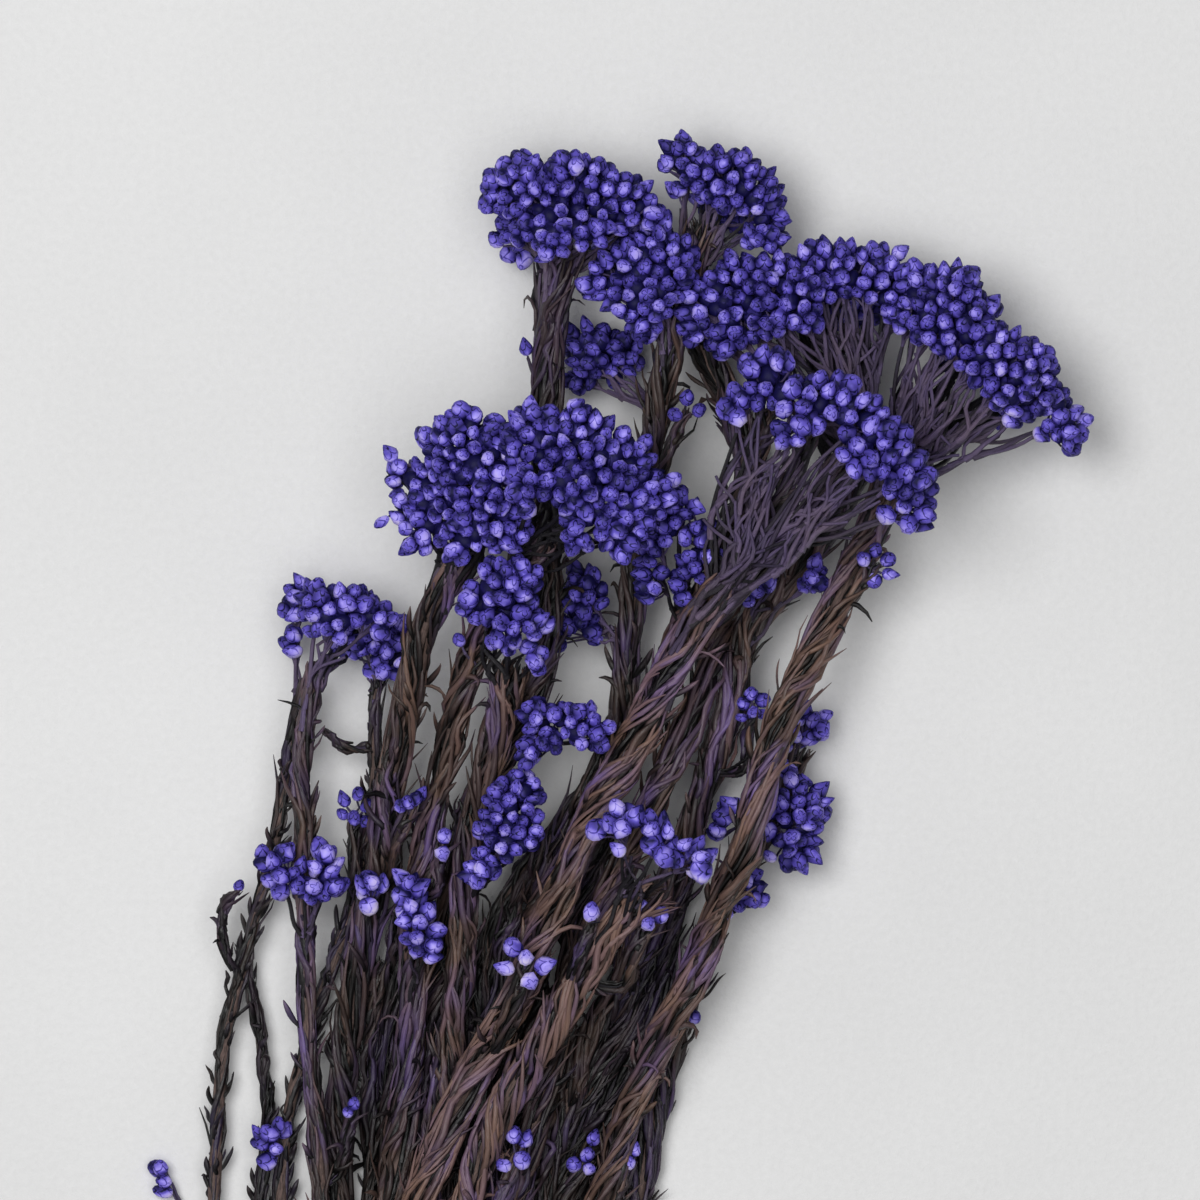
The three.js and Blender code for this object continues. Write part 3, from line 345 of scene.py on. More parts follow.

# Small twigs among the stems: the course of each from beside its stem to its tip, how far its
# leaves stand off it, and its buds, each a place and a length, with how faded they are, mixed with
# painted shade that darkens the buds of twigs lying in shadow. The stretch out of the stem's wood
# is added by rooted.
TWIGS = [
    dict(name="twig_curl", fade_and_shade=-0.3, leaf=0.6,
        course=[(-96, 22, 10), (-98.5, 26, 12), (-100.5, 33, 14), (-99.5, 40, 15),
            (-96.5, 43, 16)],
        buds=[(-96, 44.5, 16, 3.2)]),
    dict(name="twig_hook", leaf=0.7,
        course=[(-62, 79, 13), (-66, 79, 14), (-71, 80.5, 15), (-73.7, 83, 15)]),
    dict(name="twig_star", fade_and_shade=-0.15, leaf=1.3,
        course=[(-67, 42, 13), (-67.5, 52, 14), (-67, 60, 14)],
        buds=[(-69.5, 66, 15, 3.8), (-66, 67.5, 16, 3.6), (-64, 64.5, 15, 3.5),
            (-67, 61.5, 17, 3.8), (-64.5, 60.5, 14, 3.5), (-70, 62.5, 14, 3.6)]),
    dict(name="twig_row", fade_and_shade=0.6, leaf=1.5,
        course=[(-57, 46, 22), (-56, 56, 27), (-53, 63, 29)],
        buds=[(-55, 65, 31, 4), (-53, 65.7, 32, 4), (-51.3, 66.5, 31, 4.2), (-49.8, 68, 30, 4)]),
    dict(name="twig_pair", fade_and_shade=0.7, leaf=1.2,
        course=[(-46, 44, 26), (-45.5, 50, 28), (-45, 54, 29)],
        buds=[(-44, 57.5, 31, 4.4), (-44.5, 53, 31, 4.2)]),
    dict(name="twig_top", fade_and_shade=0.75, leaf=2.0,
        course=[(-31, 4, 32), (-28, 12, 36), (-25, 20, 39), (-24, 24, 40)],
        buds=[(-26.7, 30, 43, 5.2), (-23.5, 27.5, 45, 4.6), (-28.5, 24.7, 42, 4.8),
            (-18.7, 25.5, 42, 5.8), (-22.5, 21.5, 44, 4.6)]),
    dict(name="twig_right", fade_and_shade=0.65, leaf=1.8,
        course=[(0, 20, 34), (3, 28, 38), (6, 34, 39)],
        buds=[(5.5, 39.5, 41, 4.6), (10.2, 38, 41, 4.8), (7, 35.7, 43, 4.4)]),
    dict(name="twig_single", fade_and_shade=0.75, leaf=1.5,
        course=[(-12, 22, 38), (-9, 30, 42), (-7.5, 35, 43)],
        buds=[(-7.2, 38.5, 44, 5)]),
    dict(name="twig_low", fade_and_shade=0.55, leaf=1.8,
        course=[(-33, -44, 22), (-30, -34, 24), (-27, -26, 24)],
        buds=[(-26.5, -18, 25, 4.4), (-23.8, -19, 24, 4.4), (-24.5, -24, 26, 5),
            (-29, -25.5, 25, 4.2)]),
    dict(name="twig_deep", fade_and_shade=0.45, leaf=1.5,
        course=[(-18, -44, 9), (-14, -34, 10), (-9, -27, 11)],
        buds=[(-8.2, -23.5, 13, 4.4), (-6.7, -19.5, 12, 4), (-11.5, -26, 12, 4.2),
            (-7.5, -27, 14, 4.6)]),
    dict(name="twig_edge", fade_and_shade=0.6, leaf=1.3,
        course=[(-2, -40, 14), (0, -32, 14), (2, -27, 13)],
        buds=[(3.7, -22, 14, 4), (2.2, -25.5, 15, 4)]),
    dict(name="twig_side", fade_and_shade=0.4, leaf=1.3,
        course=[(12, -2, 8), (14, 4, 9), (15.5, 9, 9)],
        buds=[(16.5, 13, 10, 3.8), (18.5, 11, 9, 3.6), (14.5, 11.5, 11, 3.8)]),
    dict(name="twig_trefoil", fade_and_shade=-0.35, leaf=1.0,
        course=[(8, 138, 27), (11, 150, 31), (14, 158, 33), (16, 162, 34)],
        buds=[(16.8, 167, 35, 4.2), (19.8, 164, 35, 4), (13.8, 162.8, 36, 4)]),
    dict(name="twig_under", fade_and_shade=0.3, leaf=1.3,
        course=[(49, 104, 28), (55, 113, 29), (60, 120, 30), (63, 124, 31)],
        buds=[(64, 129, 32, 4), (67, 126.5, 32, 4), (67.5, 123, 31, 4), (63.5, 121.5, 31, 3.8),
            (61, 126.5, 33, 3.8)]),
    dict(name="twig_left", fade_and_shade=0.4, leaf=1.3,
        course=[(-71, -28, 14), (-69, -20, 16), (-67.5, -14, 17)],
        buds=[(-67, -10.5, 18, 3.6), (-68.5, -12.5, 18, 3.2)]),
    dict(name="twig_behind", fade_and_shade=0.2, leaf=1.0,
        course=[(31, 74, 22), (32, 82, 24), (33, 88, 25)],
        buds=[(33, 93, 27, 4), (35.8, 91.3, 27, 4), (31, 90.5, 26, 3.8), (33.5, 88.3, 28, 3.8),
            (36, 88, 26, 3.6), (30.5, 87, 27, 3.4)]),
    dict(name="twig_out", fade_and_shade=0.3, leaf=0,
        course=[(-49, 149, 44), (-53, 150, 45), (-55.5, 150.2, 46)],
        buds=[(-57, 152.7, 47, 4.2)]),
    dict(name="twig_low_left", fade_and_shade=0.3, leaf=0,
        course=[(-50, 139, 44), (-54, 138.6, 44), (-57, 138, 44)],
        buds=[(-59.3, 136, 44, 4.3)]),
    dict(name="twig_trunk", fade_and_shade=-0.1, leaf=0,
        course=[(-19.5, 170, 22), (-22, 174, 24), (-23, 177, 25)],
        buds=[(-23.6, 179.6, 25, 3.8)]),
    dict(name="twig_drop", fade_and_shade=0.1, leaf=0,
        course=[(-36, 100, 36), (-38.5, 103, 38)],
        buds=[(-40.2, 106.6, 39, 3.9)]),
    dict(name="twig_fan_left", leaf=1.7,
        course=[(17, 107, 43), (26, 128, 46), (33, 147, 49), (36.5, 163, 52)]),
    dict(name="twig_fan_right", leaf=1.7,
        course=[(19, 110, 43), (33, 131, 46), (42, 146, 49), (47.5, 158, 52)]),
    dict(name="twig_fan_low", leaf=2.0,
        course=[(19, 107, 40), (33, 122, 43), (45, 136, 45), (53, 150, 47)]),
    dict(name="shoot_left", leaf=1.1,
        course=[(-92, -66, 5), (-91, -34, 5), (-89, -14, 5), (-89.8, -3.5, 6), (-92.5, 13.5, 7),
            (-96, 27, 9)]),
    dict(name="shoot_inner", leaf=2.8,
        course=[(-66, -100, 6), (-61, -60, 5), (-58.5, -33, 5), (-58, -5, 6), (-57, 18, 8),
            (-55.5, 32, 11)]),
    dict(name="shoot_far_right", leaf=3.2,
        course=[(-36, -96, 5), (-20, -45, 5), (-9, -14, 5), (-1, 8, 6), (4, 26, 8)]),
    dict(name="shoot_middle", leaf=3.0,
        course=[(-50, -96, 8), (-38, -50, 9), (-28, -10, 10), (-22, 12, 11), (-20, 32, 13),
            (-19, 52, 16)]),
    dict(name="shoot_gap", leaf=1.9,
        course=[(-67, -96, 5), (-65, -60, 5), (-63.5, -33, 5), (-63.5, -10, 6), (-63, 8, 8),
            (-61, 22, 10)]),
    dict(name="shoot_edge", leaf=2.4,
        course=[(-28, -96, 5), (-12, -50, 5), (2, -14, 5), (8, 8, 6), (11.5, 24, 7), (15, 42, 9),
            (18, 56, 10)]),
    dict(name="shoot_centre", leaf=2.6,
        course=[(-44, -96, 7), (-30, -50, 8), (-19, -10, 9), (-14, 15, 10), (-12, 32, 11),
            (-8, 46, 13), (-4, 56, 15)]),
    dict(name="shoot_fork", leaf=2.4,
        course=[(-60, -90, 6), (-47, -45, 6), (-38, -5, 7), (-32, 18, 9), (-28, 36, 12)]),
    dict(name="shoot_right", leaf=3.0,
        course=[(-36, -96, 5), (-20, -55, 5), (-6, -18, 5), (2, 5, 6), (6, 22, 7), (10, 38, 8),
            (16, 52, 9)]),
]


class StemSettings(bpy.types.PropertyGroup):
    """The bark and the cut ends of the woody stems"""

    bark: bpy.props.FloatVectorProperty(
        name="Bark", description="Colour of the bark", subtype="COLOR", size=3, min=0, max=1,
        default=(0.085, 0.055, 0.048))
    heart: bpy.props.FloatVectorProperty(
        name="Heartwood", description="Colour of the wood where it is cut", subtype="COLOR", size=3,
        min=0, max=1, default=(0.42, 0.29, 0.17))
    knots: bpy.props.FloatProperty(
        name="Knots", description="How far the scars of fallen leaves stand up", unit="LENGTH",
        default=0.0002, min=0)


class LeafSettings(bpy.types.PropertyGroup):
    """The narrow dry leaves that wrap each stem in locks"""

    shortest: bpy.props.FloatProperty(
        name="Shortest", description="Length of the shortest leaf", unit="LENGTH", default=0.018,
        min=0.002)
    longest: bpy.props.FloatProperty(
        name="Longest", description="Length of the longest leaf", unit="LENGTH", default=0.042,
        min=0.002)
    width: bpy.props.FloatProperty(
        name="Width", description="Width of a leaf at its widest", unit="LENGTH", default=0.00178,
        min=0.0001)
    thickness: bpy.props.FloatProperty(
        name="Thickness", description="Thickness of a leaf as a share of its width",
        subtype="FACTOR", default=0.72, min=0.05, max=1)
    density: bpy.props.FloatProperty(
        name="Leaves per millimetre", description="How many leaves start on each millimetre of stem",
        default=2.0, min=0)
    brown: bpy.props.FloatVectorProperty(
        name="Brown", description="Colour of the dark leaves", subtype="COLOR", size=3, min=0, max=1,
        default=(0.075, 0.044, 0.045))
    tan: bpy.props.FloatVectorProperty(
        name="Tan", description="Colour of the sun bleached leaves", subtype="COLOR", size=3, min=0,
        max=1, default=(0.23, 0.135, 0.095))
    lilac: bpy.props.FloatVectorProperty(
        name="Lilac", description="Colour of the leaves that took up dye", subtype="COLOR", size=3,
        min=0, max=1, default=(0.2, 0.13, 0.38))


class FlowerSettings(bpy.types.PropertyGroup):
    """The buds and the stalks that carry them"""

    pitch: bpy.props.FloatProperty(
        name="Bud spacing", description="Distance between buds as a share of their length",
        subtype="FACTOR", default=0.665, min=0.4, max=2)
    # The deep colour is painted shade, laid where buds meet, on inner buds and towards each bud's
    # base
    deep: bpy.props.FloatVectorProperty(
        name="Deep dye", description="Colour in the folds of the buds", subtype="COLOR", size=3,
        min=0, max=1, default=(0.003, 0.002, 0.045))
    dye: bpy.props.FloatVectorProperty(
        name="Dye", description="Colour of the buds", subtype="COLOR", size=3, min=0, max=1,
        default=(0.22, 0.165, 0.95))
    # The pale colour is faded dye with a painted highlight, laid on the swell of each bud
    pale: bpy.props.FloatVectorProperty(
        name="Pale dye", description="Colour of the buds where the dye has faded", subtype="COLOR",
        size=3, min=0, max=1, default=(0.8, 0.71, 1.0))
    stalk: bpy.props.FloatVectorProperty(
        name="Stalk", description="Colour of the stalks low down", subtype="COLOR", size=3, min=0,
        max=1, default=(0.155, 0.108, 0.18))
    stalk_tip: bpy.props.FloatVectorProperty(
        name="Stalk tip", description="Colour of the stalks under the buds", subtype="COLOR", size=3,
        min=0, max=1, default=(0.11, 0.08, 0.24))


class BandSettings(bpy.types.PropertyGroup):
    """The rubber band wound three times round the stems"""

    turns: bpy.props.IntProperty(
        name="Turns", description="How many times the band goes round", default=3, min=1, max=6)
    colour: bpy.props.FloatVectorProperty(
        name="Rubber", description="Colour of the rubber", subtype="COLOR", size=3, min=0, max=1,
        default=(0.52, 0.33, 0.15))


class StageSettings(bpy.types.PropertyGroup):
    """The table, the lights and the camera"""

    floor: bpy.props.FloatVectorProperty(
        name="Table", description="Colour of the table", subtype="COLOR", size=3, min=0, max=1,
        default=(0.83, 0.83, 0.83))
    view_width: bpy.props.FloatProperty(
        name="View width", description="Width of the table that the camera sees", unit="LENGTH",
        default=0.3, min=0.05)
    camera_height: bpy.props.FloatProperty(
        name="Camera height", description="Height of the camera above the table", unit="LENGTH",
        default=2.4, min=0.5)
    key_power: bpy.props.FloatProperty(
        name="Key light", description="Power of the soft key light", unit="POWER", default=11, min=0)
    sky_power: bpy.props.FloatProperty(
        name="Overhead light", description="Power of the wide light above the camera", unit="POWER",
        default=39, min=0)
    fill: bpy.props.FloatProperty(
        name="Fill", description="Strength of the even light from all round", default=0.12, min=0)


class BunchSettings(bpy.types.PropertyGroup):
    """All settings of the bunch"""

    stems: bpy.props.PointerProperty(type=StemSettings)
    leaves: bpy.props.PointerProperty(type=LeafSettings)
    flowers: bpy.props.PointerProperty(type=FlowerSettings)
    band: bpy.props.PointerProperty(type=BandSettings)
    stage: bpy.props.PointerProperty(type=StageSettings)


# Lines and frames, in millimetres

# Points between two given places of a curve, before they are set at even distances
SPLINE_POINTS = 24


def unit(vectors):
    """Vectors at length one, along the last axis."""
    vectors = np.asarray(vectors, float)
    return vectors / np.maximum(np.linalg.norm(vectors, axis=-1, keepdims=True), 1e-9)


def smooth(value, low=0.0, high=1.0):
    """0 below low, 1 above high and an even turn between them."""
    share = np.clip((value - low) / (high - low), 0, 1)
    return share * share * (3 - 2 * share)


def evenly(points, step):
    """A line's points at even distances of about one step."""
    lengths = np.linalg.norm(np.diff(points, axis=0), axis=1)
    run = np.concatenate([[0], np.cumsum(lengths)])
    count = max(2, round(run[-1] / step) + 1)
    return interpolated(points, run, np.linspace(0, run[-1], count))


def interpolated(rows, run, distances):
    """Rows of numbers, read off at any distances along a line."""
    return np.stack([np.interp(distances, run, row) for row in rows.T], axis=-1)


def spline(points, step=1.0):
    """Even points along the centripetal Catmull-Rom curve through the given ones."""
    given = np.array(points, float)
    given = np.vstack([2 * given[0] - given[1], given, 2 * given[-1] - given[-2]])
    found = []
    for p0, p1, p2, p3 in zip(given, given[1:], given[2:], given[3:]):
        k1 = math.sqrt(np.linalg.norm(p1 - p0))
        k2 = k1 + math.sqrt(np.linalg.norm(p2 - p1))
        k3 = k2 + math.sqrt(np.linalg.norm(p3 - p2))
        t = np.linspace(k1, k2, SPLINE_POINTS, endpoint=False)[:, None]
        a1 = ((k1 - t) * p0 + t * p1) / k1
        a2 = ((k2 - t) * p1 + (t - k1) * p2) / (k2 - k1)
        a3 = ((k3 - t) * p2 + (t - k2) * p3) / (k3 - k2)
        b1 = ((k2 - t) * a1 + t * a2) / k2
        b2 = ((k3 - t) * a2 + (t - k1) * a3) / (k3 - k1)
        found.append(((k2 - t) * b1 + (t - k1) * b2) / (k2 - k1))
    found.append(given[-2:-1])
    return evenly(np.vstack(found), step)


class Line:
    """A line with a frame at each point that turns with it but doesn't twist."""

    def __init__(self, points):
        self.points = np.asarray(points, float)
        lengths = np.linalg.norm(np.diff(self.points, axis=0), axis=1)
        self.run = np.concatenate([[0], np.cumsum(lengths)])
        self.length = self.run[-1]
        self.tangents = unit(np.gradient(self.points, axis=0))
        normals = [unit(np.cross(self.tangents[0], (0.31, 0.2, 0.93)))]
        for tangent in self.tangents[1:]:
            normals.append(unit(normals[-1] - tangent * np.dot(normals[-1], tangent)))
        self.normals = np.array(normals)
        self.binormals = np.cross(self.tangents, self.normals)

    def at(self, distances):
        """Points, tangents, normals and binormals at these distances from the start."""
        rows = (self.points, self.tangents, self.normals, self.binormals)
        return [interpolated(row, self.run, distances) for row in rows]


def place_in_band(stem, spread):
    """X and Z of a stem in the band, or beyond it where the stems spread."""
    x = BAND_X + stem["place"] * PLACE_PITCH * spread
    z = FIRST_ROW_Z + stem["row"] * ROW_PITCH * spread
    return x, z


def stem_line(stem):
    """The line of a stem from its cut end up to the root of its head."""
    band_x, band_z = place_in_band(stem, 1)
    end_x, end_z = place_in_band(stem, END_SPREAD)
    points = list(stem["course"])
    points.append((band_x, BAND_Y + 2 * BAND_WIDTH, band_z))
    points.append((band_x, BAND_Y, band_z))
    points.append((band_x, BAND_Y - BAND_WIDTH, band_z))
    points.append((end_x, stem["cut"], end_z))
    return Line(spline(points[::-1]))


# Meshes

def line_mesh(name, lines, **values):
    """A mesh of loose lines, in metres, with rows of numbers or vectors for every line."""
    points = np.concatenate(lines) * MM
    counts = np.array([len(line) for line in lines])
    starts = np.concatenate([[0], np.cumsum(counts)[:-1]])
    edges = np.stack([np.arange(len(points) - 1), np.arange(1, len(points))], axis=1)
    edges = np.delete(edges, starts[1:] - 1, axis=0)
    mesh = bpy.data.meshes.new(name)
    mesh.from_pydata(points.tolist(), edges.tolist(), [])
    store(mesh, values)
    return linked(name, mesh)


def point_mesh(name, points, **values):
    """A mesh of loose points, in metres, with a value or vector for every point."""
    mesh = bpy.data.meshes.new(name)
    mesh.from_pydata((np.asarray(points) * MM).tolist(), [], [])
    store(mesh, {key: [np.asarray(value)] for key, value in values.items()})
    return linked(name, mesh)


def store(mesh, values):
    """Stores values on the mesh's points as named attributes."""
    for key, rows in values.items():
        data = np.concatenate(rows).astype(np.float32)
        kind, field = ("FLOAT", "value") if data.ndim == 1 else ("FLOAT_VECTOR", "vector")
        mesh.attributes.new(key, kind, "POINT").data.foreach_set(field, data.ravel())


def linked(name, mesh):
    """A new object of the scene for a mesh."""
    obj = bpy.data.objects.new(name, mesh)
    bpy.context.scene.collection.objects.link(obj)
    return obj


def grown(obj, tree, inputs):
    """Gives an object the plain mesh that a node tree makes of it."""
    modifier = obj.modifiers.new(tree.name, "NODES")
    modifier.node_group = tree
    for item in tree.interface.items_tree:
        if item.in_out == "INPUT" and item.name in inputs:
            modifier[item.identifier] = inputs[item.name]
    bpy.context.view_layer.update()
    evaluated = obj.evaluated_get(bpy.context.evaluated_depsgraph_get())
    mesh = bpy.data.meshes.new_from_object(evaluated)
    obj.modifiers.remove(modifier)
    lines = obj.data
    obj.data = mesh
    bpy.data.meshes.remove(lines)
    mesh.name = obj.name
    return obj


def finished(obj, slot, *nodes):
    """A finished piece: it rides on the bunch and stands for its CAD nodes."""
    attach(obj, "root")
    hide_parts(*nodes)
    return obj


# Node trees

def put(tree, kind, inputs=None, **settings):
    """A new node with its settings, whose inputs are given values or joined to sockets."""
    node = tree.nodes.new(kind)
    for name, value in settings.items():
        setattr(node, name, value)
    for key, value in (inputs or {}).items():
        if isinstance(value, bpy.types.NodeSocket):
            tree.links.new(value, node.inputs[key])
        else:
            node.inputs[key].default_value = value
    return node


def calc(tree, operation, *values):
    """The result of a Math node."""
    return put(tree, "ShaderNodeMath", dict(enumerate(values)), operation=operation).outputs[0]


def times(tree, a, b):
    """The product of two values."""
    return calc(tree, "MULTIPLY", a, b)


def plus(tree, a, b):
    """The sum of two values."""
    return calc(tree, "ADD", a, b)


def minus(tree, a, b):
    """A value less another."""
    return calc(tree, "SUBTRACT", a, b)


def spread(tree, value, low, high, to_low=0.0, to_high=1.0):
    """A value mapped evenly from one range to another, and held at its ends."""
    inputs = {"Value": value, "From Min": low, "From Max": high, "To Min": to_low, "To Max": to_high}
    return put(tree, "ShaderNodeMapRange", inputs).outputs["Result"]


def group_tree(name, kind, inputs, outputs):
    """A node group with named sockets, and its input and output nodes."""
    tree = bpy.data.node_groups.new(name, kind)
    for in_out, sockets in (("INPUT", inputs), ("OUTPUT", outputs)):
        for title, holds, default in sockets:
            socket = tree.interface.new_socket(
                title, in_out=in_out, socket_type=f"NodeSocket{holds}")
            if default is not None:
                socket.default_value = default
    return tree, put(tree, "NodeGroupInput"), put(tree, "NodeGroupOutput")


def stored(tree, name, data_type="FLOAT"):
    """A named attribute, in a geometry tree."""
    node = put(tree, "GeometryNodeInputNamedAttribute", {"Name": name}, data_type=data_type)
    return node.outputs["Attribute"]


def sweep_tree():
    """Sweeps a many sided section along each line of a mesh, as wide as the line's girth there."""
    tree, given, result = group_tree(
        "Sweep", "GeometryNodeTree",
        [("Lines", "Geometry", None), ("Sides", "Int", 3),
            ("Flatness", "Float", 1.0), ("Material", "Material", None)],
        [("Mesh", "Geometry", None)])
    line = put(tree, "GeometryNodeMeshToCurve", {"Mesh": given.outputs["Lines"]})
    normal = put(
        tree, "GeometryNodeSetCurveNormal",
        {"Curve": line.outputs[0], "Normal": stored(tree, "outward", "FLOAT_VECTOR")}, mode="FREE")
    ring = put(
        tree, "GeometryNodeCurvePrimitiveCircle",
        {"Resolution": given.outputs["Sides"], "Radius": 1.0})
    marked = put(
        tree, "GeometryNodeStoreNamedAttribute",
        {"Geometry": ring.outputs["Curve"], "Name": "section",
            "Value": put(tree, "GeometryNodeInputPosition").outputs[0]},
        data_type="FLOAT_VECTOR")
    flat = put(
        tree, "ShaderNodeCombineXYZ", {"X": given.outputs["Flatness"], "Y": 1.0, "Z": 1.0})
    section = put(
        tree, "GeometryNodeTransform", {"Geometry": marked.outputs[0], "Scale": flat.outputs[0]})
    swept = put(
        tree, "GeometryNodeCurveToMesh",
        {"Curve": normal.outputs[0], "Profile Curve": section.outputs[0],
            "Scale": stored(tree, "girth"), "Fill Caps": True})
    closing(tree, given, result, swept.outputs[0], "Mesh")
    return tree


def closing(tree, given, result, geometry, title):
    """Ends a tree: real geometry, smooth, with its material."""
    real = put(tree, "GeometryNodeRealizeInstances", {"Geometry": geometry})
    shaded = put(
        tree, "GeometryNodeSetShadeSmooth", {"Geometry": real.outputs[0], "Shade Smooth": True})
    painted = put(
        tree, "GeometryNodeSetMaterial",
        {"Geometry": shaded.outputs[0], "Material": given.outputs["Material"]})
    tree.links.new(painted.outputs[0], result.inputs[title])


def bud_shape_tree():
    """One bud, a unit long, standing on its base: a ball with a tip, folded into bracts."""
    tree, given, result = group_tree(
        "Bud shape", "GeometryNodeTree",
        [("Segments", "Int", 8), ("Rings", "Int", 6),
            ("Width", "Float", 0.9), ("Taper", "Float", 0.2),
            ("Point", "Float", 0.1), ("Fold", "Float", 0.05),
            ("Folds", "Float", 3.0), ("Swirl", "Float", 1.0)],
        [("Bud", "Geometry", None)])
    ball = put(
        tree, "GeometryNodeMeshUVSphere",
        {"Segments": given.outputs["Segments"], "Rings": given.outputs["Rings"], "Radius": 0.5})
    mapped = put(
        tree, "GeometryNodeStoreNamedAttribute",
        {"Geometry": ball.outputs["Mesh"], "Name": "bract_uv", "Value": ball.outputs["UV Map"]},
        data_type="FLOAT2", domain="CORNER")
    spot = put(tree, "GeometryNodeInputPosition").outputs[0]
    x, y, z = put(tree, "ShaderNodeSeparateXYZ", {0: spot}).outputs
    height = times(tree, z, 2.0)
    angle = calc(tree, "ARCTAN2", y, x)
    phase = plus(
        tree, times(tree, angle, given.outputs["Folds"]),
        times(tree, height, given.outputs["Swirl"]))
    belt = minus(tree, 1.0, times(tree, height, height))
    fold = times(tree, times(tree, calc(tree, "COSINE", phase), belt),
        given.outputs["Fold"])
    tip = times(tree, given.outputs["Point"], spread(tree, height, 0.2, 1.0))
    narrowing = plus(tree, times(tree, height, given.outputs["Taper"]), tip)
    girth = minus(tree, plus(tree, given.outputs["Width"], fold), narrowing)
    raised_tip = times(tree, times(tree, tip, tip), 1.6)
    moved = put(
        tree, "ShaderNodeCombineXYZ",
        {"X": times(tree, x, girth), "Y": times(tree, y, girth),
            "Z": plus(tree, plus(tree, z, 0.5), raised_tip)})
    shaped = put(
        tree, "GeometryNodeSetPosition",
        {"Geometry": mapped.outputs[0], "Position": moved.outputs[0]})
    tree.links.new(shaped.outputs[0], result.inputs["Bud"])
    return tree


def bud_tree():
    """Sets a bud on each point of a mesh, turned, sized and picked by the point's attributes."""
    tree, given, result = group_tree(
        "Buds", "GeometryNodeTree",
        [("Places", "Geometry", None), ("Roundness", "Float", 1.0),
            ("Material", "Material", None)],
        [("Buds", "Geometry", None)])
    shape = bud_shape_tree()
    kinds = put(tree, "GeometryNodeGeometryToInstance")
    for kind in reversed(BUD_KINDS):
        inputs = dict(zip(BUD_INPUTS, kind))
        inputs["Width"] = times(tree, given.outputs["Roundness"], inputs["Width"])
        one = put(tree, "GeometryNodeGroup", inputs, node_tree=shape)
        tree.links.new(one.outputs[0], kinds.inputs[0])
    set_out = put(
        tree, "GeometryNodeInstanceOnPoints",
        {"Points": given.outputs["Places"], "Instance": kinds.outputs[0], "Pick Instance": True,
            "Instance Index": stored(tree, "kind"), "Rotation": stored(tree, "turn", "FLOAT_VECTOR"),
            "Scale": stored(tree, "size", "FLOAT_VECTOR")})
    closing(tree, given, result, set_out.outputs[0], "Buds")
    return tree


# The kinds of bud, two of them plain for the inside, and their shares outside and inside
BUD_INPUTS = ("Segments", "Rings", "Width", "Taper", "Point", "Fold", "Folds", "Swirl")
BUD_KINDS = [
    (8, 6, 0.94, 0.03, 0.17, 0.07, 3, 1.0),
    (8, 6, 0.86, 0.1, 0.28, 0.09, 3, 1.6),
    (8, 6, 0.98, -0.04, 0.12, 0.17, 3, 2.2),
    (8, 6, 0.86, -0.1, 0.22, 0.18, 2, 0.8),
    (8, 6, 0.9, 0.1, 0.34, 0.07, 4, 0.6),
    (8, 6, 1.0, -0.02, 0.06, 0.16, 2, 1.4),
    (6, 4, 0.94, 0.06, 0.15, 0.0, 3, 0.0),
    (6, 4, 1.0, 0.0, 0.05, 0.0, 3, 0.0),
]
OUTER_KINDS = (0.26, 0.18, 0.2, 0.12, 0.08, 0.16, 0.0, 0.0)
INNER_KINDS = (0.0, 0.0, 0.0, 0.0, 0.0, 0.0, 0.6, 0.4)


# Materials

def attribute(tree, name):
    """A named attribute's number, in a material."""
    return put(tree, "ShaderNodeAttribute", attribute_name=name).outputs["Fac"]


def mixed(tree, factor, a, b):
    """Two colours mixed."""
    node = put(tree, "ShaderNodeMix", {"Factor": factor, 6: a, 7: b}, data_type="RGBA")
    return node.outputs[2]


def noise(tree, vector, scale, detail=2.0, roughness=0.5):
    """A noise value from 0 to 1."""
    inputs = {"Vector": vector, "Scale": scale, "Detail": detail, "Roughness": roughness}
    return put(tree, "ShaderNodeTexNoise", inputs).outputs["Fac"]


def material(name, roughness):
    """A new material, its tree and its shader."""
    made = bpy.data.materials.new(name)
    made.use_nodes = True
    tree = made.node_tree
    shader = tree.nodes["Principled BSDF"]
    shader.inputs["Roughness"].default_value = roughness
    return made, tree, shader


def object_place(tree):
    """The object's own coordinates."""
    return put(tree, "ShaderNodeTexCoord").outputs["Object"]


def raised(tree, shader, height, distance, strength=1.0):
    """Gives a shader a bump of the given depth, in metres."""
    inputs = {"Height": height, "Distance": distance, "Strength": strength}
    bump = put(tree, "ShaderNodeBump", inputs)
    tree.links.new(bump.outputs[0], shader.inputs["Normal"])


def fibre_group():
    """Fibres that run along a stem, stalk or leaf, and the uneven tone of dry plants."""
    tree, given, result = group_tree(
        "Dry fibre", "ShaderNodeTree",
        [("Fibres round it", "Float", 3.0), ("Length", "Float", 6.0),
            ("Patch size", "Float", 0.01)],
        [("Fibre", "Float", None), ("Patch", "Float", None)])
    section = put(tree, "ShaderNodeAttribute", attribute_name="section").outputs["Vector"]
    stretched = calc(tree, "DIVIDE", attribute(tree, "run"), given.outputs["Length"])
    own = times(tree, attribute(tree, "tone"), 91.0)
    lengthwise = put(tree, "ShaderNodeCombineXYZ", {"Z": plus(tree, stretched, own)})
    place = put(
        tree, "ShaderNodeVectorMath", {0: section, 1: lengthwise.outputs[0]}, operation="ADD")
    fibre = noise(tree, place.outputs[0], given.outputs["Fibres round it"], 3.0, 0.6)
    patch_scale = calc(tree, "DIVIDE", 1.0, given.outputs["Patch size"])
    patch = noise(tree, object_place(tree), patch_scale, 2.0)
    tree.links.new(spread(tree, fibre, 0.3, 0.7), result.inputs["Fibre"])
    tree.links.new(spread(tree, patch, 0.35, 0.65), result.inputs["Patch"])
    return tree


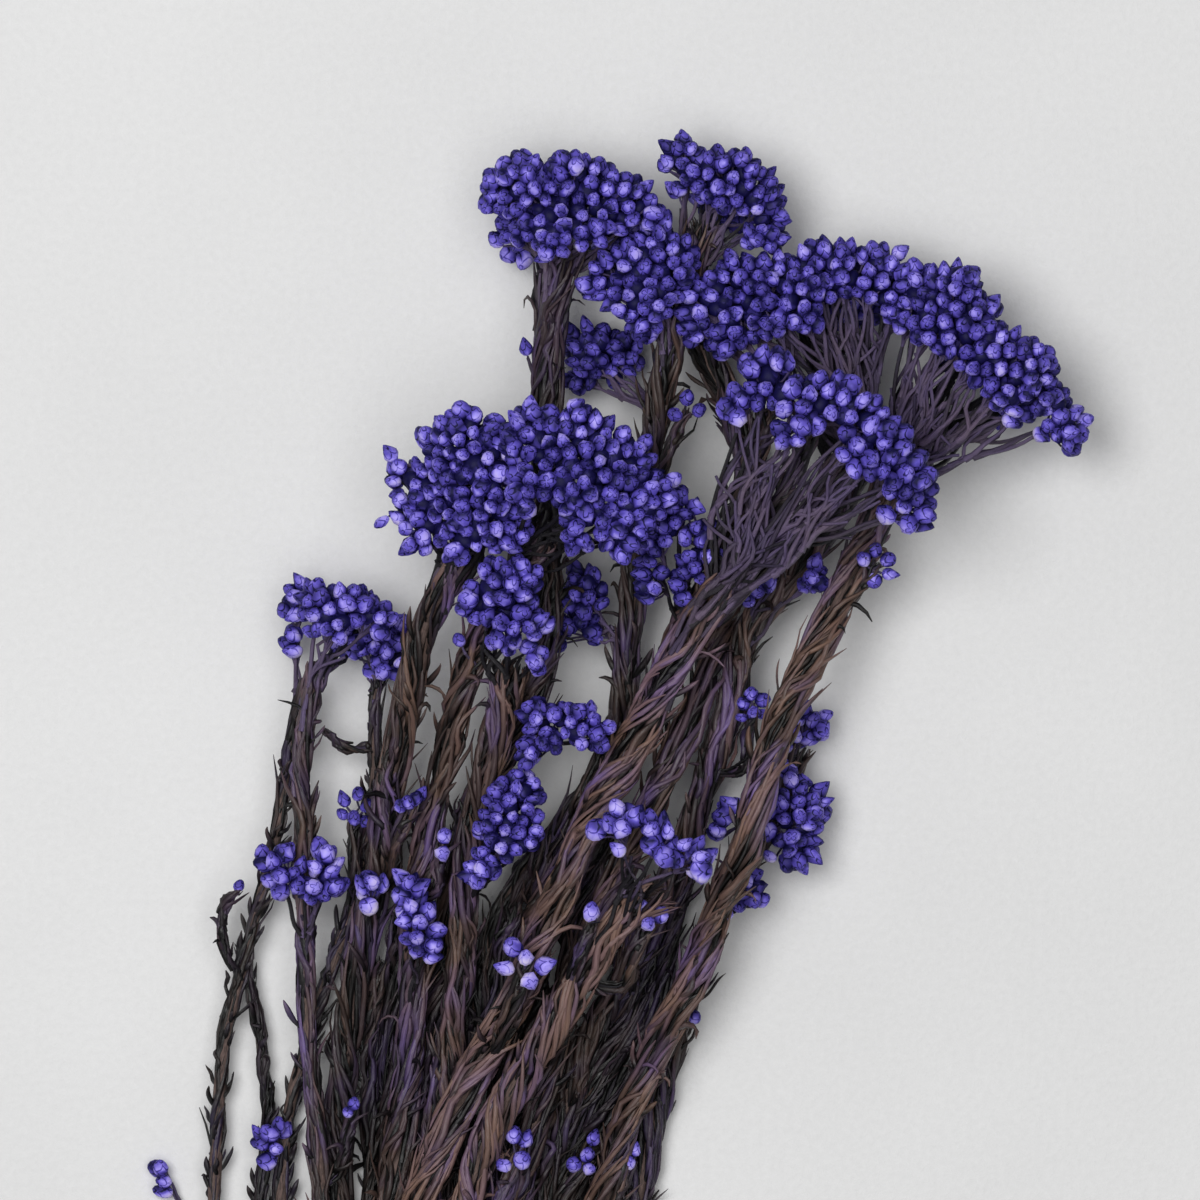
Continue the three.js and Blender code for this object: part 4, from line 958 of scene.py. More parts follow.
def fibres(tree, round_it, length, patch):
    """The outputs of the fibre group, placed in a material with its own values."""
    inputs = {"Fibres round it": round_it, "Length": length, "Patch size": patch}
    return put(tree, "ShaderNodeGroup", inputs, node_tree=tree_of(fibre_group)).outputs


def bract_group():
    """Rows of overlapping bracts round a bud, from its own UV map."""
    tree, given, result = group_tree(
        "Bracts", "ShaderNodeTree",
        [("Rows", "Float", 3.4), ("Bracts round it", "Float", 4.0)],
        [("Edge", "Float", None), ("Lift", "Float", None),
            ("Height", "Float", None)])
    uv = put(tree, "ShaderNodeUVMap", uv_map="bract_uv").outputs[0]
    own = times(tree, attribute(tree, "tone"), 17.0)
    ripple = minus(tree, noise(tree, object_place(tree), 700.0, 1.0), 0.5)
    parts = put(tree, "ShaderNodeSeparateXYZ", {0: uv}).outputs
    level = times(tree, parts[1], given.outputs["Rows"])
    level = plus(tree, level, times(tree, ripple, 0.5))
    row = calc(tree, "FLOOR", level)
    above = calc(tree, "FRACT", level)
    turn = times(tree, parts[0], given.outputs["Bracts round it"])
    turn = plus(tree, turn, times(tree, plus(tree, row, own), 0.5))
    side = minus(tree, times(tree, calc(tree, "FRACT", turn), 2.0), 1.0)
    bend = times(tree, times(tree, side, side), 0.75)
    bow = minus(tree, 0.9, bend)
    past = minus(tree, above, bow)
    edge = minus(tree, 1.0, spread(tree, calc(tree, "ABSOLUTE", past), 0.0, 0.16))
    on_bract = calc(tree, "LESS_THAN", past, 0.0)
    lift = plus(tree, 0.4, times(tree, above, 0.6))
    lift = times(tree, on_bract, lift)
    tree.links.new(edge, result.inputs["Edge"])
    tree.links.new(lift, result.inputs["Lift"])
    tree.links.new(parts[1], result.inputs["Height"])
    return tree


def colour(values):
    """A colour property with the alpha that a socket takes."""
    return (*values, 1.0)


def bud_material(settings):
    """Papery violet bracts: painted shade near black where buds meet, and faded dye with a painted
    highlight on the swell of each bud.
    """
    made, tree, shader = material("Violet bracts", 0.4)
    place = object_place(tree)
    bracts = put(tree, "ShaderNodeGroup", node_tree=bract_group()).outputs
    tone = attribute(tree, "tone")
    mottle = noise(tree, place, 420.0, 3.0, 0.6)
    # Painted light: buds are painted dark where they meet, on the inner layers and towards each
    # bud's base, and pale on their swell
    painted_light_share = times(tree, attribute(tree, "crevice_light"),
        spread(tree, attribute(tree, "depth"), 0.0, 1.0, 0.2, 1.0))
    rise = spread(tree, bracts["Height"], 0.15, 0.8, 0.35, 1.0)
    swell = times(tree, times(tree, painted_light_share, rise),
        plus(tree, spread(tree, mottle, 0.3, 0.7, 0.6, 0.95),
            spread(tree, tone, -0.6, 1.0, -0.42, 0.28)))
    edged = minus(tree, swell, times(tree, bracts["Edge"], 0.28))
    # The deep colour lays the painted shade, the pale one faded dye and the painted highlight
    body = mixed(tree, spread(tree, edged, 0.04, 0.46), colour(settings.deep), colour(settings.dye))
    fade_and_shade = mixed(tree, spread(tree, edged, 0.28, 0.84), body, colour(settings.pale))
    tree.links.new(fade_and_shade, shader.inputs["Base Color"])
    tree.links.new(spread(tree, edged, 0.0, 0.6, 0.65, 0.38), shader.inputs["Roughness"])
    shader.inputs["Specular IOR Level"].default_value = 0.22
    height = plus(tree, bracts["Lift"], times(tree, mottle, 0.5))
    raised(tree, shader, height, 0.00022, 0.8)
    return made


def leaf_material(settings):
    """Dry narrow leaves, from dark brown to tan, with lilac where they took up the dye, and painted
    shade deep in the locks and low in the bunch.
    """
    made, tree, shader = material("Dry leaves", 0.5)
    fibre = fibres(tree, 1.5, 5.0, 0.022)
    warm = attribute(tree, "warm")
    tone = attribute(tree, "tone")
    share = attribute(tree, "share")
    bleached = mixed(
        tree, spread(tree, warm, 0.1, 0.9), colour(settings.brown), colour(settings.tan))
    dyed = times(tree, spread(tree, fibre["Patch"], 0.2, 1.0),
        spread(tree, warm, 1.0, 0.3, 0.25, 1.0))
    dyed = times(tree, dyed, spread(tree, tone, 0.0, 0.6, 0.2, 1.0))
    body = mixed(tree, dyed, bleached, colour(settings.lilac))
    tipped = mixed(tree, spread(tree, share, 0.6, 1.0, 0.0, 0.3), body, colour(settings.tan))
    dark = minus(tree, 1.0, fibre["Fibre"])
    lined = mixed(tree, times(tree, dark, 0.55), tipped, colour(settings.brown))
    # Painted shade: each stem's shade, darker deep in the locks and low in the bunch
    light = times(tree, attribute(tree, "shade"),
        spread(tree, attribute(tree, "depth"), 0.45, 1.0, 0.02, 1.35))
    tree.links.new(scaled_colour(tree, lined, light), shader.inputs["Base Color"])
    tree.links.new(spread(tree, fibre["Fibre"], 0.0, 1.0, 0.4, 0.6), shader.inputs["Roughness"])
    raised(tree, shader, fibre["Fibre"], 0.0002, 0.6)
    return made


def stalk_material(settings):
    """Forked stalks, grey brown low down and violet under the buds, with painted shade on low ones.
    """
    made, tree, shader = material("Flower stalks", 0.58)
    fibre = fibres(tree, 2.2, 4.0, 0.012)
    share = attribute(tree, "share")
    body = mixed(
        tree, spread(tree, share, 0.45, 1.0), colour(settings.stalk), colour(settings.stalk_tip))
    dyed = mixed(tree, times(tree, fibre["Patch"], 0.5), body, colour(settings.stalk_tip))
    dark = tuple(0.35 * value for value in settings.stalk)
    streaked = times(tree, minus(tree, 1.0, fibre["Fibre"]), 0.65)
    shaded = mixed(tree, streaked, dyed, colour(dark))
    # Painted shade from the tone: low stalks darker, with some random tone
    toned_and_shaded = scaled_colour(tree, shaded, spread(tree, attribute(tree, "tone"), 0.1, 0.9, 0.05, 1.5))
    tree.links.new(toned_and_shaded, shader.inputs["Base Color"])
    raised(tree, shader, fibre["Fibre"], 0.0003, 0.8)
    return made


def bark_material(settings):
    """Fibrous dark bark with leaf scars, and pale ringed wood where the stem is cut."""
    made, tree, shader = material("Bark", 0.75)
    place = object_place(tree)
    fibre = fibres(tree, 3.5, 7.0, 0.006)
    cells = put(tree, "ShaderNodeTexVoronoi", {"Vector": place, "Scale": 330.0}, feature="F1")
    scar = spread(tree, cells.outputs["Distance"], 0.35, 0.2)
    dark = tuple(0.4 * value for value in settings.bark)
    pale = tuple(min(1.0, 1.9 * value) for value in settings.bark)
    body = mixed(tree, fibre["Fibre"], colour(dark), colour(pale))
    scarred = mixed(tree, times(tree, scar, 0.6), body, colour(settings.bark))
    ring = attribute(tree, "ring")
    rings = calc(tree, "SINE", times(tree, ring, WOOD_RINGS))
    grain = spread(tree, rings, -1.0, 1.0, 0.55, 1.0)
    heart = scaled_colour(tree, colour(settings.heart), grain)
    cut = spread(tree, ring, 0.86, 0.8)
    ended = mixed(tree, cut, scarred, heart)
    tree.links.new(ended, shader.inputs["Base Color"])
    height = plus(tree, fibre["Fibre"], scar)
    raised(tree, shader, height, settings.knots, 0.8)
    return made


def scaled_colour(tree, given, factor):
    """A colour made darker by a factor."""
    return mixed(tree, factor, (0.0, 0.0, 0.0, 1.0), given)


def rubber_material(settings):
    """Matt natural rubber with a dusty bloom."""
    made, tree, shader = material("Natural rubber", 0.6)
    place = object_place(tree)
    dust = noise(tree, place, 900.0, 4.0, 0.6)
    pale = tuple(min(1.0, 1.25 * value) for value in settings.colour)
    body = mixed(tree, spread(tree, dust, 0.35, 0.7), colour(settings.colour), colour(pale))
    tree.links.new(body, shader.inputs["Base Color"])
    tree.links.new(spread(tree, dust, 0.3, 0.7, 0.5, 0.72), shader.inputs["Roughness"])
    raised(tree, shader, dust, 0.0001, 0.5)
    return made


def table_material(settings):
    """A pale matt table with a faint grain."""
    made, tree, shader = material("Pale table", 0.9)
    place = object_place(tree)
    cloud = noise(tree, place, 9.0, 3.0)
    grain = noise(tree, place, 520.0, 4.0, 0.65)
    dim = tuple(0.9 * value for value in settings.floor)
    patchy = plus(
        tree, times(tree, cloud, 0.5), times(tree, grain, 0.5))
    body = mixed(tree, spread(tree, patchy, 0.3, 0.7), colour(dim), colour(settings.floor))
    tree.links.new(body, shader.inputs["Base Color"])
    raised(tree, shader, grain, 0.0006, 0.5)
    return made


# Leaves

# The points along a leaf and round it
LEAF_POINTS = 10
LEAF_SIDES = 4

# Locks round a stem, their share of the cover's radius, and the radius that has all its leaves
LOCKS = 5
LOCK_SHARE = 0.42
FULL_COVER = 4.5

# How far before a line's end the last leaf starts, how far past it leaves reach, and their least
# height
LEAF_OVERHANG = 5
LEAF_REACH = 7
LEAF_CLEARANCE = 1.15

# Shares of leaves that curl, cross to the next lock and have a loose tip
CURLED_SHARE = 0.04
CROSSING_SHARE = 0.16
LOOSE_SHARE = 0.16

# Leaves that stand away: their lengths, how far before the end they stop, and their width
AWAY_LENGTHS = (4, 10)
AWAY_STOP = 14
AWAY_WIDTH = 0.85

# Heights between which leaves are painted from their shade to full light, and the painted shade of
# the lowest
DEEP = 4
OPEN = 24
DEEP_SHADE = 0.35

# A twig's cover and step, its girth from root to tip, and that of the stalks of its buds
TWIG_COVER = dict(turn=70, spiky=0.25, warm=0.3, shade=0.4)
TWIG_STEP = 0.8
TWIG_GIRTHS = (0.75, 0.45)
TWIG_FORK_GIRTHS = (0.45, 0.3)


def leaf_lines(line, first, last, cover, settings, rng):
    """Narrow leaves that wrap a line in twisted locks: their lines and the values along them."""
    radius, turn = cover["leaf"], cover["turn"]
    count = round((last - first) * settings.density * (0.25 + 0.75 * radius / FULL_COVER))
    start = first + (last - first) * (np.arange(count) + rng.random(count)) / count
    longest, shortest = settings.longest / MM, settings.shortest / MM
    away = (rng.random(count) < cover["spiky"])[:, None]
    length = (shortest + (longest - shortest) * rng.random(count) ** 1.3)[:, None]
    away &= (start < line.length - AWAY_STOP)[:, None]
    away_length = rng.uniform(*AWAY_LENGTHS, count)[:, None] * min(1, 0.4 + 0.3 * radius)
    length = np.where(away, away_length, length)
    past_end = min(LEAF_REACH, 2 * radius)
    length = np.minimum(length, np.maximum(line.length + past_end - start, past_end)[:, None])
    t = np.linspace(0, 1, LEAF_POINTS)[None, :]

    curled = (rng.random(count) < CURLED_SHARE)[:, None]
    bend = curled * np.clip((t - 0.5) / 0.5, 0, 1) * rng.uniform(1.6, 3.2, count)[:, None]
    hook = 0.5 * length / 5
    distance = start[:, None] + length * np.where(curled, np.minimum(t, 0.5), t)
    distance = distance + hook * np.sin(bend)

    lock = rng.integers(LOCKS, size=count)
    sway = rng.uniform(0, 2 * math.pi, LOCKS)[lock][:, None]
    wave = rng.uniform(6, 10, LOCKS)[lock][:, None]
    angle = 2 * math.pi * (lock[:, None] / LOCKS + distance / turn)
    angle = angle + 0.4 * np.sin(distance / wave + sway)
    crossing = (rng.random(count) < CROSSING_SHARE) * rng.choice((-1, 1), count)
    crossing = crossing * rng.uniform(0.7, 1.3, count)
    angle = angle + crossing[:, None] * smooth(t, 0.1, 0.9)
    swing = rng.uniform(-0.8, 0.8, count)[:, None] * np.sin(
        rng.uniform(2.5, 5, count)[:, None] * t + rng.uniform(0, 6, count)[:, None])
    own = rng.uniform(-2.1, 2.1, count)[:, None] + swing
    lock_radius = LOCK_SHARE * radius * rng.uniform(0.7, 1.15, count)[:, None]
    breath = 1 + 0.12 * np.sin(distance / 9 + 2 * sway)
    risen = smooth(t, 0.0, 0.3)
    out = (1 - LOCK_SHARE) * radius * breath + lock_radius * np.cos(own)
    out = WOOD_GIRTH_TIP + (out - WOOD_GIRTH_TIP) * risen
    aside = lock_radius * np.sin(own) * (0.3 + 0.7 * risen)
    wiggle = rng.uniform(0.1, 1.3, count)[:, None] ** 1.5 * np.sin(
        rng.uniform(7, 12, count)[:, None] * t + rng.uniform(0, 6, count)[:, None])
    aside = aside + wiggle * risen

    loose = (rng.random(count) < LOOSE_SHARE)[:, None]
    tip = rng.uniform(1.2, 3.2, count)[:, None] * smooth(t, 0.6, 1.2) * 2
    out = out + loose * tip + hook * (1 - np.cos(bend))
    slope = np.tan(rng.uniform(0.35, 0.75, count))[:, None]
    spike = 0.6 * radius + length * t * slope * (1 - 0.3 * t)
    out = np.where(away, spike, out)
    aside = np.where(away, 0.35 * aside, aside)

    past = np.maximum(distance - line.length, 0)[..., None]
    points, tangents, normals, binormals = line.at(distance)
    radial = np.cos(angle)[..., None] * normals + np.sin(angle)[..., None] * binormals
    around = np.cross(tangents, radial)
    places = points + past * tangents + out[..., None] * radial + aside[..., None] * around
    outward = unit(np.cos(own)[..., None] * radial + np.sin(own)[..., None] * around)
    width = 0.5 * settings.width * rng.uniform(0.65, 1.2, count)[:, None]
    width = width * np.where(away, AWAY_WIDTH, 1)
    girth = width * (0.6 + 0.4 * smooth(t, 0.0, 0.25)) * (1 - 0.85 * t ** 5)
    places[..., 2] = np.maximum(places[..., 2], LEAF_CLEARANCE)

    lock_tone = rng.normal(0, 0.24, LOCKS)[lock]
    lock_warmth = rng.normal(0, 0.2, LOCKS)[lock]
    tone = np.clip(rng.random(count) + lock_tone, 0, 1)[:, None] + 0 * t
    warm = np.clip(rng.normal(cover["warm"], 0.16, count) + lock_warmth, 0, 1)[:, None] + 0 * t
    # Painted shade: leaves darker deep inside the locks and towards the base of those that stand
    # away, and, with the stem's shade, darker low in the bunch
    rope_light = np.clip(0.5 + 0.5 * np.cos(own), 0, 1) * (0.4 + 0.6 * risen)
    depth = np.where(away, 0.25 + 0.75 * t, rope_light)
    shade = cover["shade"] * rng.uniform(0.55, 1.3, count)[:, None]
    shade = shade * (DEEP_SHADE + (1 - DEEP_SHADE) * smooth(places[..., 2], DEEP, OPEN))
    return dict(
        lines=places, outward=outward, girth=girth, share=0 * tone + t, run=length * t, tone=tone,
        warm=warm, depth=depth, shade=shade)


# Flower heads

# The skin of a head: the step along its outline, its crown above the given heights, how far in it is
# rounded off, how far it reaches down, and how far off each given height counts
OUTLINE_STEP = 0.5
CROWN = 6.5
EDGE = 7.0
UNDERSIDE = 7.0
REACH = 9.0

# Random places tried for each bud
CANDIDATES = 14

# Layers of buds: how light they are painted from the outside in, a painted shade on the inner
# layers, the size of inner buds, how deep the first layer and each further one lie, in bud lengths,
# and how much wider each spaces its buds
BUD_LAYERS = (1.0, 0.22, 0.05)
INNER_SIZE = 1.2
SKIN_DEPTH = 0.3
LAYER_DEPTH = 0.62
LAYER_SPACING = 0.08

# Clusters: the buds in one, the rounds that find them, how they swell and within what limits, how
# uneven they are, and how far they are drawn together
BUDS_IN_CLUSTER = 7
CLUSTER_ROUNDS = 8
CLUSTER_DOME = 0.08
CLUSTER_LIFT = (-1.3, 0.9)
CLUSTER_UNEVEN = 0.35
CLUSTER_PULL = 0.93

# Buds: their sizes, the least height of a middle, the more of it where one faces down, and the width
# of the painted shade in the gap between two, in bud lengths
BUD_SIZES = (0.82, 1.16)
BUD_REST = 0.57
BUD_REST_TURNED = 0.36
CREVICE_SHADE = 0.42

# Where a cluster's stalk forks: how far back at most, and as a share of the way to the root, how far
# down, and its least height
NODE_BACK = 8.0
NODE_SHARE = 0.5
NODE_DROP = 1.5
NODE_HEIGHT = 1.0

# Where the outlines are seen from, and the height at which they are true
SEEN_FROM = np.array((-5.0, 116.5))
SEEN_HEIGHT = 2400.0
FRAMED_HEIGHT = 35.0


class Cushion:
    """The skin of one part of a head: its outline from above, swollen to the head's height."""

    def __init__(self, outline, heights):
        self.outline = evenly(np.array([*outline, outline[0]], float), OUTLINE_STEP)[:-1]
        self.heights = np.array(heights, float)
        turned = np.roll(self.outline, -1, axis=0) - np.roll(self.outline, 1, axis=0)
        inward = unit(np.stack([-turned[:, 1], turned[:, 0]], axis=1))
        if not self.inside(self.outline + 0.3 * inward).mean() > 0.5:
            inward = -inward
        self.inward = inward
        self.length = len(self.outline) * OUTLINE_STEP

    def level(self, flat):
        """How high the middle of the cushion stands at places on the plan."""
        gaps = np.linalg.norm(flat[:, None] - self.heights[None, :, :2], axis=2)
        weight = np.exp(-(gaps / REACH) ** 2) + 1e-9
        return weight @ self.heights[:, 2] / weight.sum(axis=1)

    def inside(self, flat):
        """Which places on the plan lie inside the outline."""
        a, b = self.outline, np.roll(self.outline, -1, axis=0)
        x, y = flat[:, :1], flat[:, 1:]
        rise = np.where(b[:, 1] == a[:, 1], 1e-9, b[:, 1] - a[:, 1])
        crossed = (a[:, 1] > y) != (b[:, 1] > y)
        before = x < a[:, 0] + (y - a[:, 1]) * (b[:, 0] - a[:, 0]) / rise
        return (crossed & before).sum(axis=1) % 2 == 1

    def gap(self, flat):
        """How far places lie from the outline, and the ways to its nearest points."""
        offsets = self.outline[None] - flat[:, None]
        gaps = np.linalg.norm(offsets, axis=2)
        nearest = np.argmin(gaps, axis=1)
        rows = np.arange(len(flat))
        return gaps[rows, nearest], unit(offsets[rows, nearest])

    def skin(self, inset, crown, near, rng):
        """Random places on the skin, inset from the outline, and the ways that it faces there."""
        low, high = self.outline.min(axis=0), self.outline.max(axis=0)
        count = int(CANDIDATES * np.prod(high - low) / near ** 2)
        flat = rng.uniform(low, high, (count, 2))
        flat = flat[self.inside(flat)]
        gaps, ways = self.gap(flat)
        kept = gaps > inset
        flat, gaps, ways = flat[kept], gaps[kept], ways[kept]
        lean = 1 - np.clip((gaps - inset) / EDGE, 0, 1)
        rise = np.sqrt(1 - lean ** 2)
        top = np.column_stack([flat, self.level(flat) + crown * rise])
        top_faces = np.column_stack([ways * lean[:, None], rise])

        count = int(CANDIDATES * self.length * (EDGE + UNDERSIDE) / near ** 2)
        place = rng.integers(len(self.outline), size=count)
        turn = rng.uniform(-0.5 * math.pi, 0.45 * math.pi, count)
        inner = inset + EDGE * (1 - np.cos(turn))
        flat = self.outline[place] + self.inward[place] * inner[:, None]
        kept = self.gap(flat)[0] > inner - 0.5
        kept &= self.inside(flat)
        flat, turn, place = flat[kept], turn[kept], place[kept]
        height = np.where(turn > 0, crown, UNDERSIDE) * np.sin(turn)
        rim = np.column_stack([flat, self.level(flat) + height])
        rim_faces = np.column_stack([-self.inward[place] * np.cos(turn)[:, None], np.sin(turn)])
        order = rng.permutation(len(top) + len(rim))
        return np.concatenate([top, rim])[order], np.concatenate([top_faces, rim_faces])[order]


def ball_skin(prop, inset, near, rng):
    """Random places on a low round cluster, and the ways that it faces there."""
    radius = prop[3] - inset
    count = int(CANDIDATES * 4 * math.pi * radius ** 2 / near ** 2)
    faces = unit(rng.normal(0, 1, (count, 3)))
    return np.array(prop[:3]) + radius * faces, faces


class Buds:
    """The buds of one head, gathered layer by layer: their middles, faces and depths."""

    def __init__(self):
        self.middles = np.empty((0, 3))
        self.faces = np.empty((0, 3))
        self.depths = np.empty(0)

    def settle(self, spots, faces, near, depth):
        """Adds each bud that comes no nearer than this to another."""
        room = len(self.middles) + len(spots)
        middles, kept = np.full((room, 3), 1e6), []
        middles[:len(self.middles)] = self.middles
        count = len(self.middles)
        for i, spot in enumerate(spots):
            offset = middles[:count] - spot
            if count and (offset * offset).sum(axis=1).min() < near * near:
                continue
            middles[count] = spot
            count += 1
            kept.append(i)
        self.middles = middles[:count]
        self.faces = np.concatenate([self.faces, faces[kept]])
        self.depths = np.concatenate([self.depths, np.full(len(kept), depth)])


def bud_places(root, head, pitch, rng):
    """The buds of a head: layers under the skin of its parts, gathered into small clusters."""
    size = head["bud"]
    cushions = [Cushion(outline, head["heights"]) for outline in head["outlines"]]
    buds = Buds()
    for layer, depth in enumerate(BUD_LAYERS):
        near = size * pitch * (1 + LAYER_SPACING * layer)
        inset = size * (SKIN_DEPTH + LAYER_DEPTH * layer)
        crown = CROWN - inset
        found = [cushion.skin(inset, crown, near, rng) for cushion in cushions]
        found += [ball_skin(prop, inset, near, rng) for prop in head["props"] if prop[3] > inset + 1]
        spots = np.concatenate([one[0] for one in found])
        faces = np.concatenate([one[1] for one in found])
        outward = (faces * unit(spots - root)).sum(axis=1)
        kept = (spots[:, 2] > 0.5 * size) & ((outward > 0.1) | (faces[:, 2] > 0.35))
        buds.settle(spots[kept], faces[kept], near, depth)
    shrink = (SEEN_HEIGHT - buds.middles[:, 2:]) / (SEEN_HEIGHT - FRAMED_HEIGHT)
    buds.middles[:, :2] = SEEN_FROM + (buds.middles[:, :2] - SEEN_FROM) * shrink
    return buds


def clustered(buds, rng):
    """The cluster of each bud, and the clusters' middles. Each cluster swells in its middle."""
    outer = buds.depths == 1
    spots = buds.middles[outer]
    count = max(1, round(len(spots) / BUDS_IN_CLUSTER))
    centres = spots[np.linspace(0, len(spots) - 1, count).astype(int)]
    for _ in range(CLUSTER_ROUNDS):
        owner = np.argmin(((spots[:, None] - centres[None]) ** 2).sum(axis=2), axis=1)
        centres = np.array([
            spots[owner == i].mean(axis=0) if (owner == i).any() else centres[i]
            for i in range(count)])
    for i in range(count):
        mine = owner == i
        if mine.sum() > 2:
            spread_out = ((spots[mine] - centres[i]) ** 2).sum(axis=1)
            lift = np.clip(CLUSTER_DOME * (spread_out.mean() - spread_out), *CLUSTER_LIFT)
            face = unit(buds.faces[outer][mine].mean(axis=0))
            lift = lift + rng.normal(0, CLUSTER_UNEVEN, len(lift))
            drawn = centres[i] + CLUSTER_PULL * (spots[mine] - centres[i])
            spots[mine] = drawn + lift[:, None] * face
    buds.middles[outer] = spots
    owner = np.argmin(((buds.middles[:, None] - centres[None]) ** 2).sum(axis=2), axis=1)
    return owner, centres


# How the stalks of a sprig leave it
SPRIG_FAN = 4.0
SPRIG_FOOT = dict(fan=SPRIG_FAN, leaf=0.8, links=1, props=[])

# Stalks: the step along one, its girth under a single bud, how fast that grows with more, its sides
STALK_STEP = 2.1
STALK_GIRTH = 0.3
STALK_GROWTH = 0.33
STALK_SIDES = 4

# How far a stalk and a main stalk keep their way, as shares of their length, and their least height
STALK_PULL = 0.36
MAIN_PULL = 0.45
STALK_CLEARANCE = 0.4

# The height over which the stalks of a head are painted from dark to light: painted shade on the low
# stalks
STALK_RELIEF = 13


def stalk_girth(buds):
    """The radius of a stalk that carries so many buds, in millimetres."""
    return STALK_GIRTH * buds ** STALK_GROWTH


class Stalks:
    """The stalks of one head, gathered while they fork."""

    def __init__(self, rng):
        self.rng = rng
        self.lines = []
        self.girths = []
        self.shares = []

    def limb(self, start, flow, end, heading, girth, tip, share, tip_share, pull=STALK_PULL):
        """A stalk that leaves one point along its flow and comes to another along its heading."""
        reach = np.linalg.norm(end - start)
        count = max(3, round(reach / STALK_STEP) + 1)
        t = np.linspace(0, 1, count)[:, None]
        a, b = start + flow * pull * reach, end - heading * STALK_PULL * reach
        line = (1 - t) ** 3 * start + 3 * (1 - t) ** 2 * t * a
        line = line + 3 * (1 - t) * t * t * b + t ** 3 * end
        bend = np.sin(math.pi * t) * np.sin(self.rng.uniform(4, 10) * t + self.rng.uniform(0, 6))
        line = line + bend * self.rng.normal(0, 0.04 * reach + 0.2, 3)
        line[:, 2] = np.maximum(line[:, 2], STALK_CLEARANCE)
        ease = t[:, 0]
        flare = 1 + 0.3 * (1 - smooth(ease, 0.0, 0.25))
        self.lines.append(line)
        self.girths.append((girth + (tip - girth) * ease) * flare * MM)
        self.shares.append(share + (tip_share - share) * ease)
        return line

    def sheaf(self, starts, flows, nodes, bases, links):
        """A stalk to the node of each cluster, which forks there to the buds, and side stalks."""
        mains = []
        for start, flow, node, rows in zip(starts, flows, nodes, bases):
            girth = stalk_girth(len(rows))
            heading = unit(node - start)
            mains.append(self.limb(
                start, flow, node, heading, girth, 0.8 * girth, 0.0, 0.6, pull=MAIN_PULL))
            for base in rows:
                way = unit(base - node)
                self.limb(node, heading, base, way, 1.2 * STALK_GIRTH, 0.9 * STALK_GIRTH, 0.6, 1.0)
        for i, line in enumerate(mains):
            gaps = np.linalg.norm(nodes - nodes[i], axis=1)
            near = np.argsort(gaps)[1:5]
            for _ in range(links if len(near) else 0):
                other = mains[self.rng.choice(near)]
                share = self.rng.uniform(0.1, 0.7)
                further = min(1.0, share + self.rng.uniform(0.2, 0.5))
                spot = round(share * (len(line) - 2))
                end = other[round(further * (len(other) - 1))] + self.rng.normal(0, 0.8, 3)
                along = unit(line[spot + 1] - line[spot])
                way = unit(end - line[spot])
                self.limb(line[spot], along, end, way, self.rng.uniform(0.5, 0.9), 0.4, 0.3, 0.7)


# Painted shade: how much darker the buds that face aside are than those that face up
ASIDE_SHADE = 0.6


def bud_mesh(name, bases, ways, sizes, depths, fade_and_shade, rng):
    """Points for the buds of one piece, with how each is turned, sized and toned."""
    count = len(bases)
    turns = []
    for way, spin in zip(ways, rng.uniform(0, 2 * math.pi, count)):
        turn = Vector(way).to_track_quat("Z", "Y") @ Quaternion((0, 0, 1), spin)
        turns.append(tuple(turn.to_euler()))
    own = rng.uniform((0.84, 0.84, 0.92), (1.08, 1.08, 1.14), (count, 3))
    outer = rng.choice(len(BUD_KINDS), size=count, p=OUTER_KINDS)
    inner = rng.choice(len(BUD_KINDS), size=count, p=INNER_KINDS)
    # The tone carries painted shade: lower for heads set dark and for buds that face aside
    tone = np.clip(rng.normal(fade_and_shade - ASIDE_SHADE * (1 - ways[:, 2]), 0.22, count), -0.6, 1)
    return point_mesh(
        name, bases, turn=np.array(turns), size=own * sizes[:, None] * MM, tone=tone, depth=depths,
        kind=np.where(depths == 1, outer, inner))


def paint_crevice_shade(obj, middles, size):
    """Stores painted shade: how lit each bud point is, 0 midway between two buds, 1 in the open."""
    near = kdtree.KDTree(len(middles))
    for i, middle in enumerate(middles * MM):
        near.insert(middle, i)
    near.balance()
    crevice_light = np.ones(len(obj.data.vertices), np.float32)
    if len(middles) > 1:
        for i, vertex in enumerate(obj.data.vertices):
            first, second = near.find_n(vertex.co, 2)
            crevice_light[i] = min(1.0, (second[2] - first[2]) / (CREVICE_SHADE * size * MM))
    obj.data.attributes.new("crevice_light", "FLOAT", "POINT").data.foreach_set("value", crevice_light)


# The table, camera and lights, in metres, and the sensor, in millimetres: the view width is true at
# FOCUS_HEIGHT, and both lights point at LIT_HEIGHT
TABLE_SIZE = 4.0
FRAME_CENTRE = (-0.005, 0.1165)
FOCUS_HEIGHT = 0.035
SENSOR = 36.0
LIT_HEIGHT = 0.03
KEY_PLACE = (-0.40, 0.28, 1.5)
KEY_SIZE = 0.7
SKY_PLACE = (0.1, 0.1, 2.8)
SKY_SIZE = 2.2

# How far below its first place a twig leaves the stem, in points of the stem's line
ROOT_BACK = 4


# Pieces

def labelled():
    """Each stem with its label, its line and its own random numbers."""
    for number, stem in enumerate(STEMS, 1):
        rng = np.random.default_rng(STEM_SEED + number)
        yield f"{number:02d}", STEM_PLAIN | stem, stem_line(stem), rng


def tree_of(build):
    """A node tree that several pieces or materials share, built once."""
    name = {sweep_tree: "Sweep", bud_tree: "Buds", fibre_group: "Dry fibre"}[build]
    return bpy.data.node_groups.get(name) or build()


def material_of(name, build, settings):
    """A material that several pieces share, built once."""
    return bpy.data.materials.get(name) or build(settings)


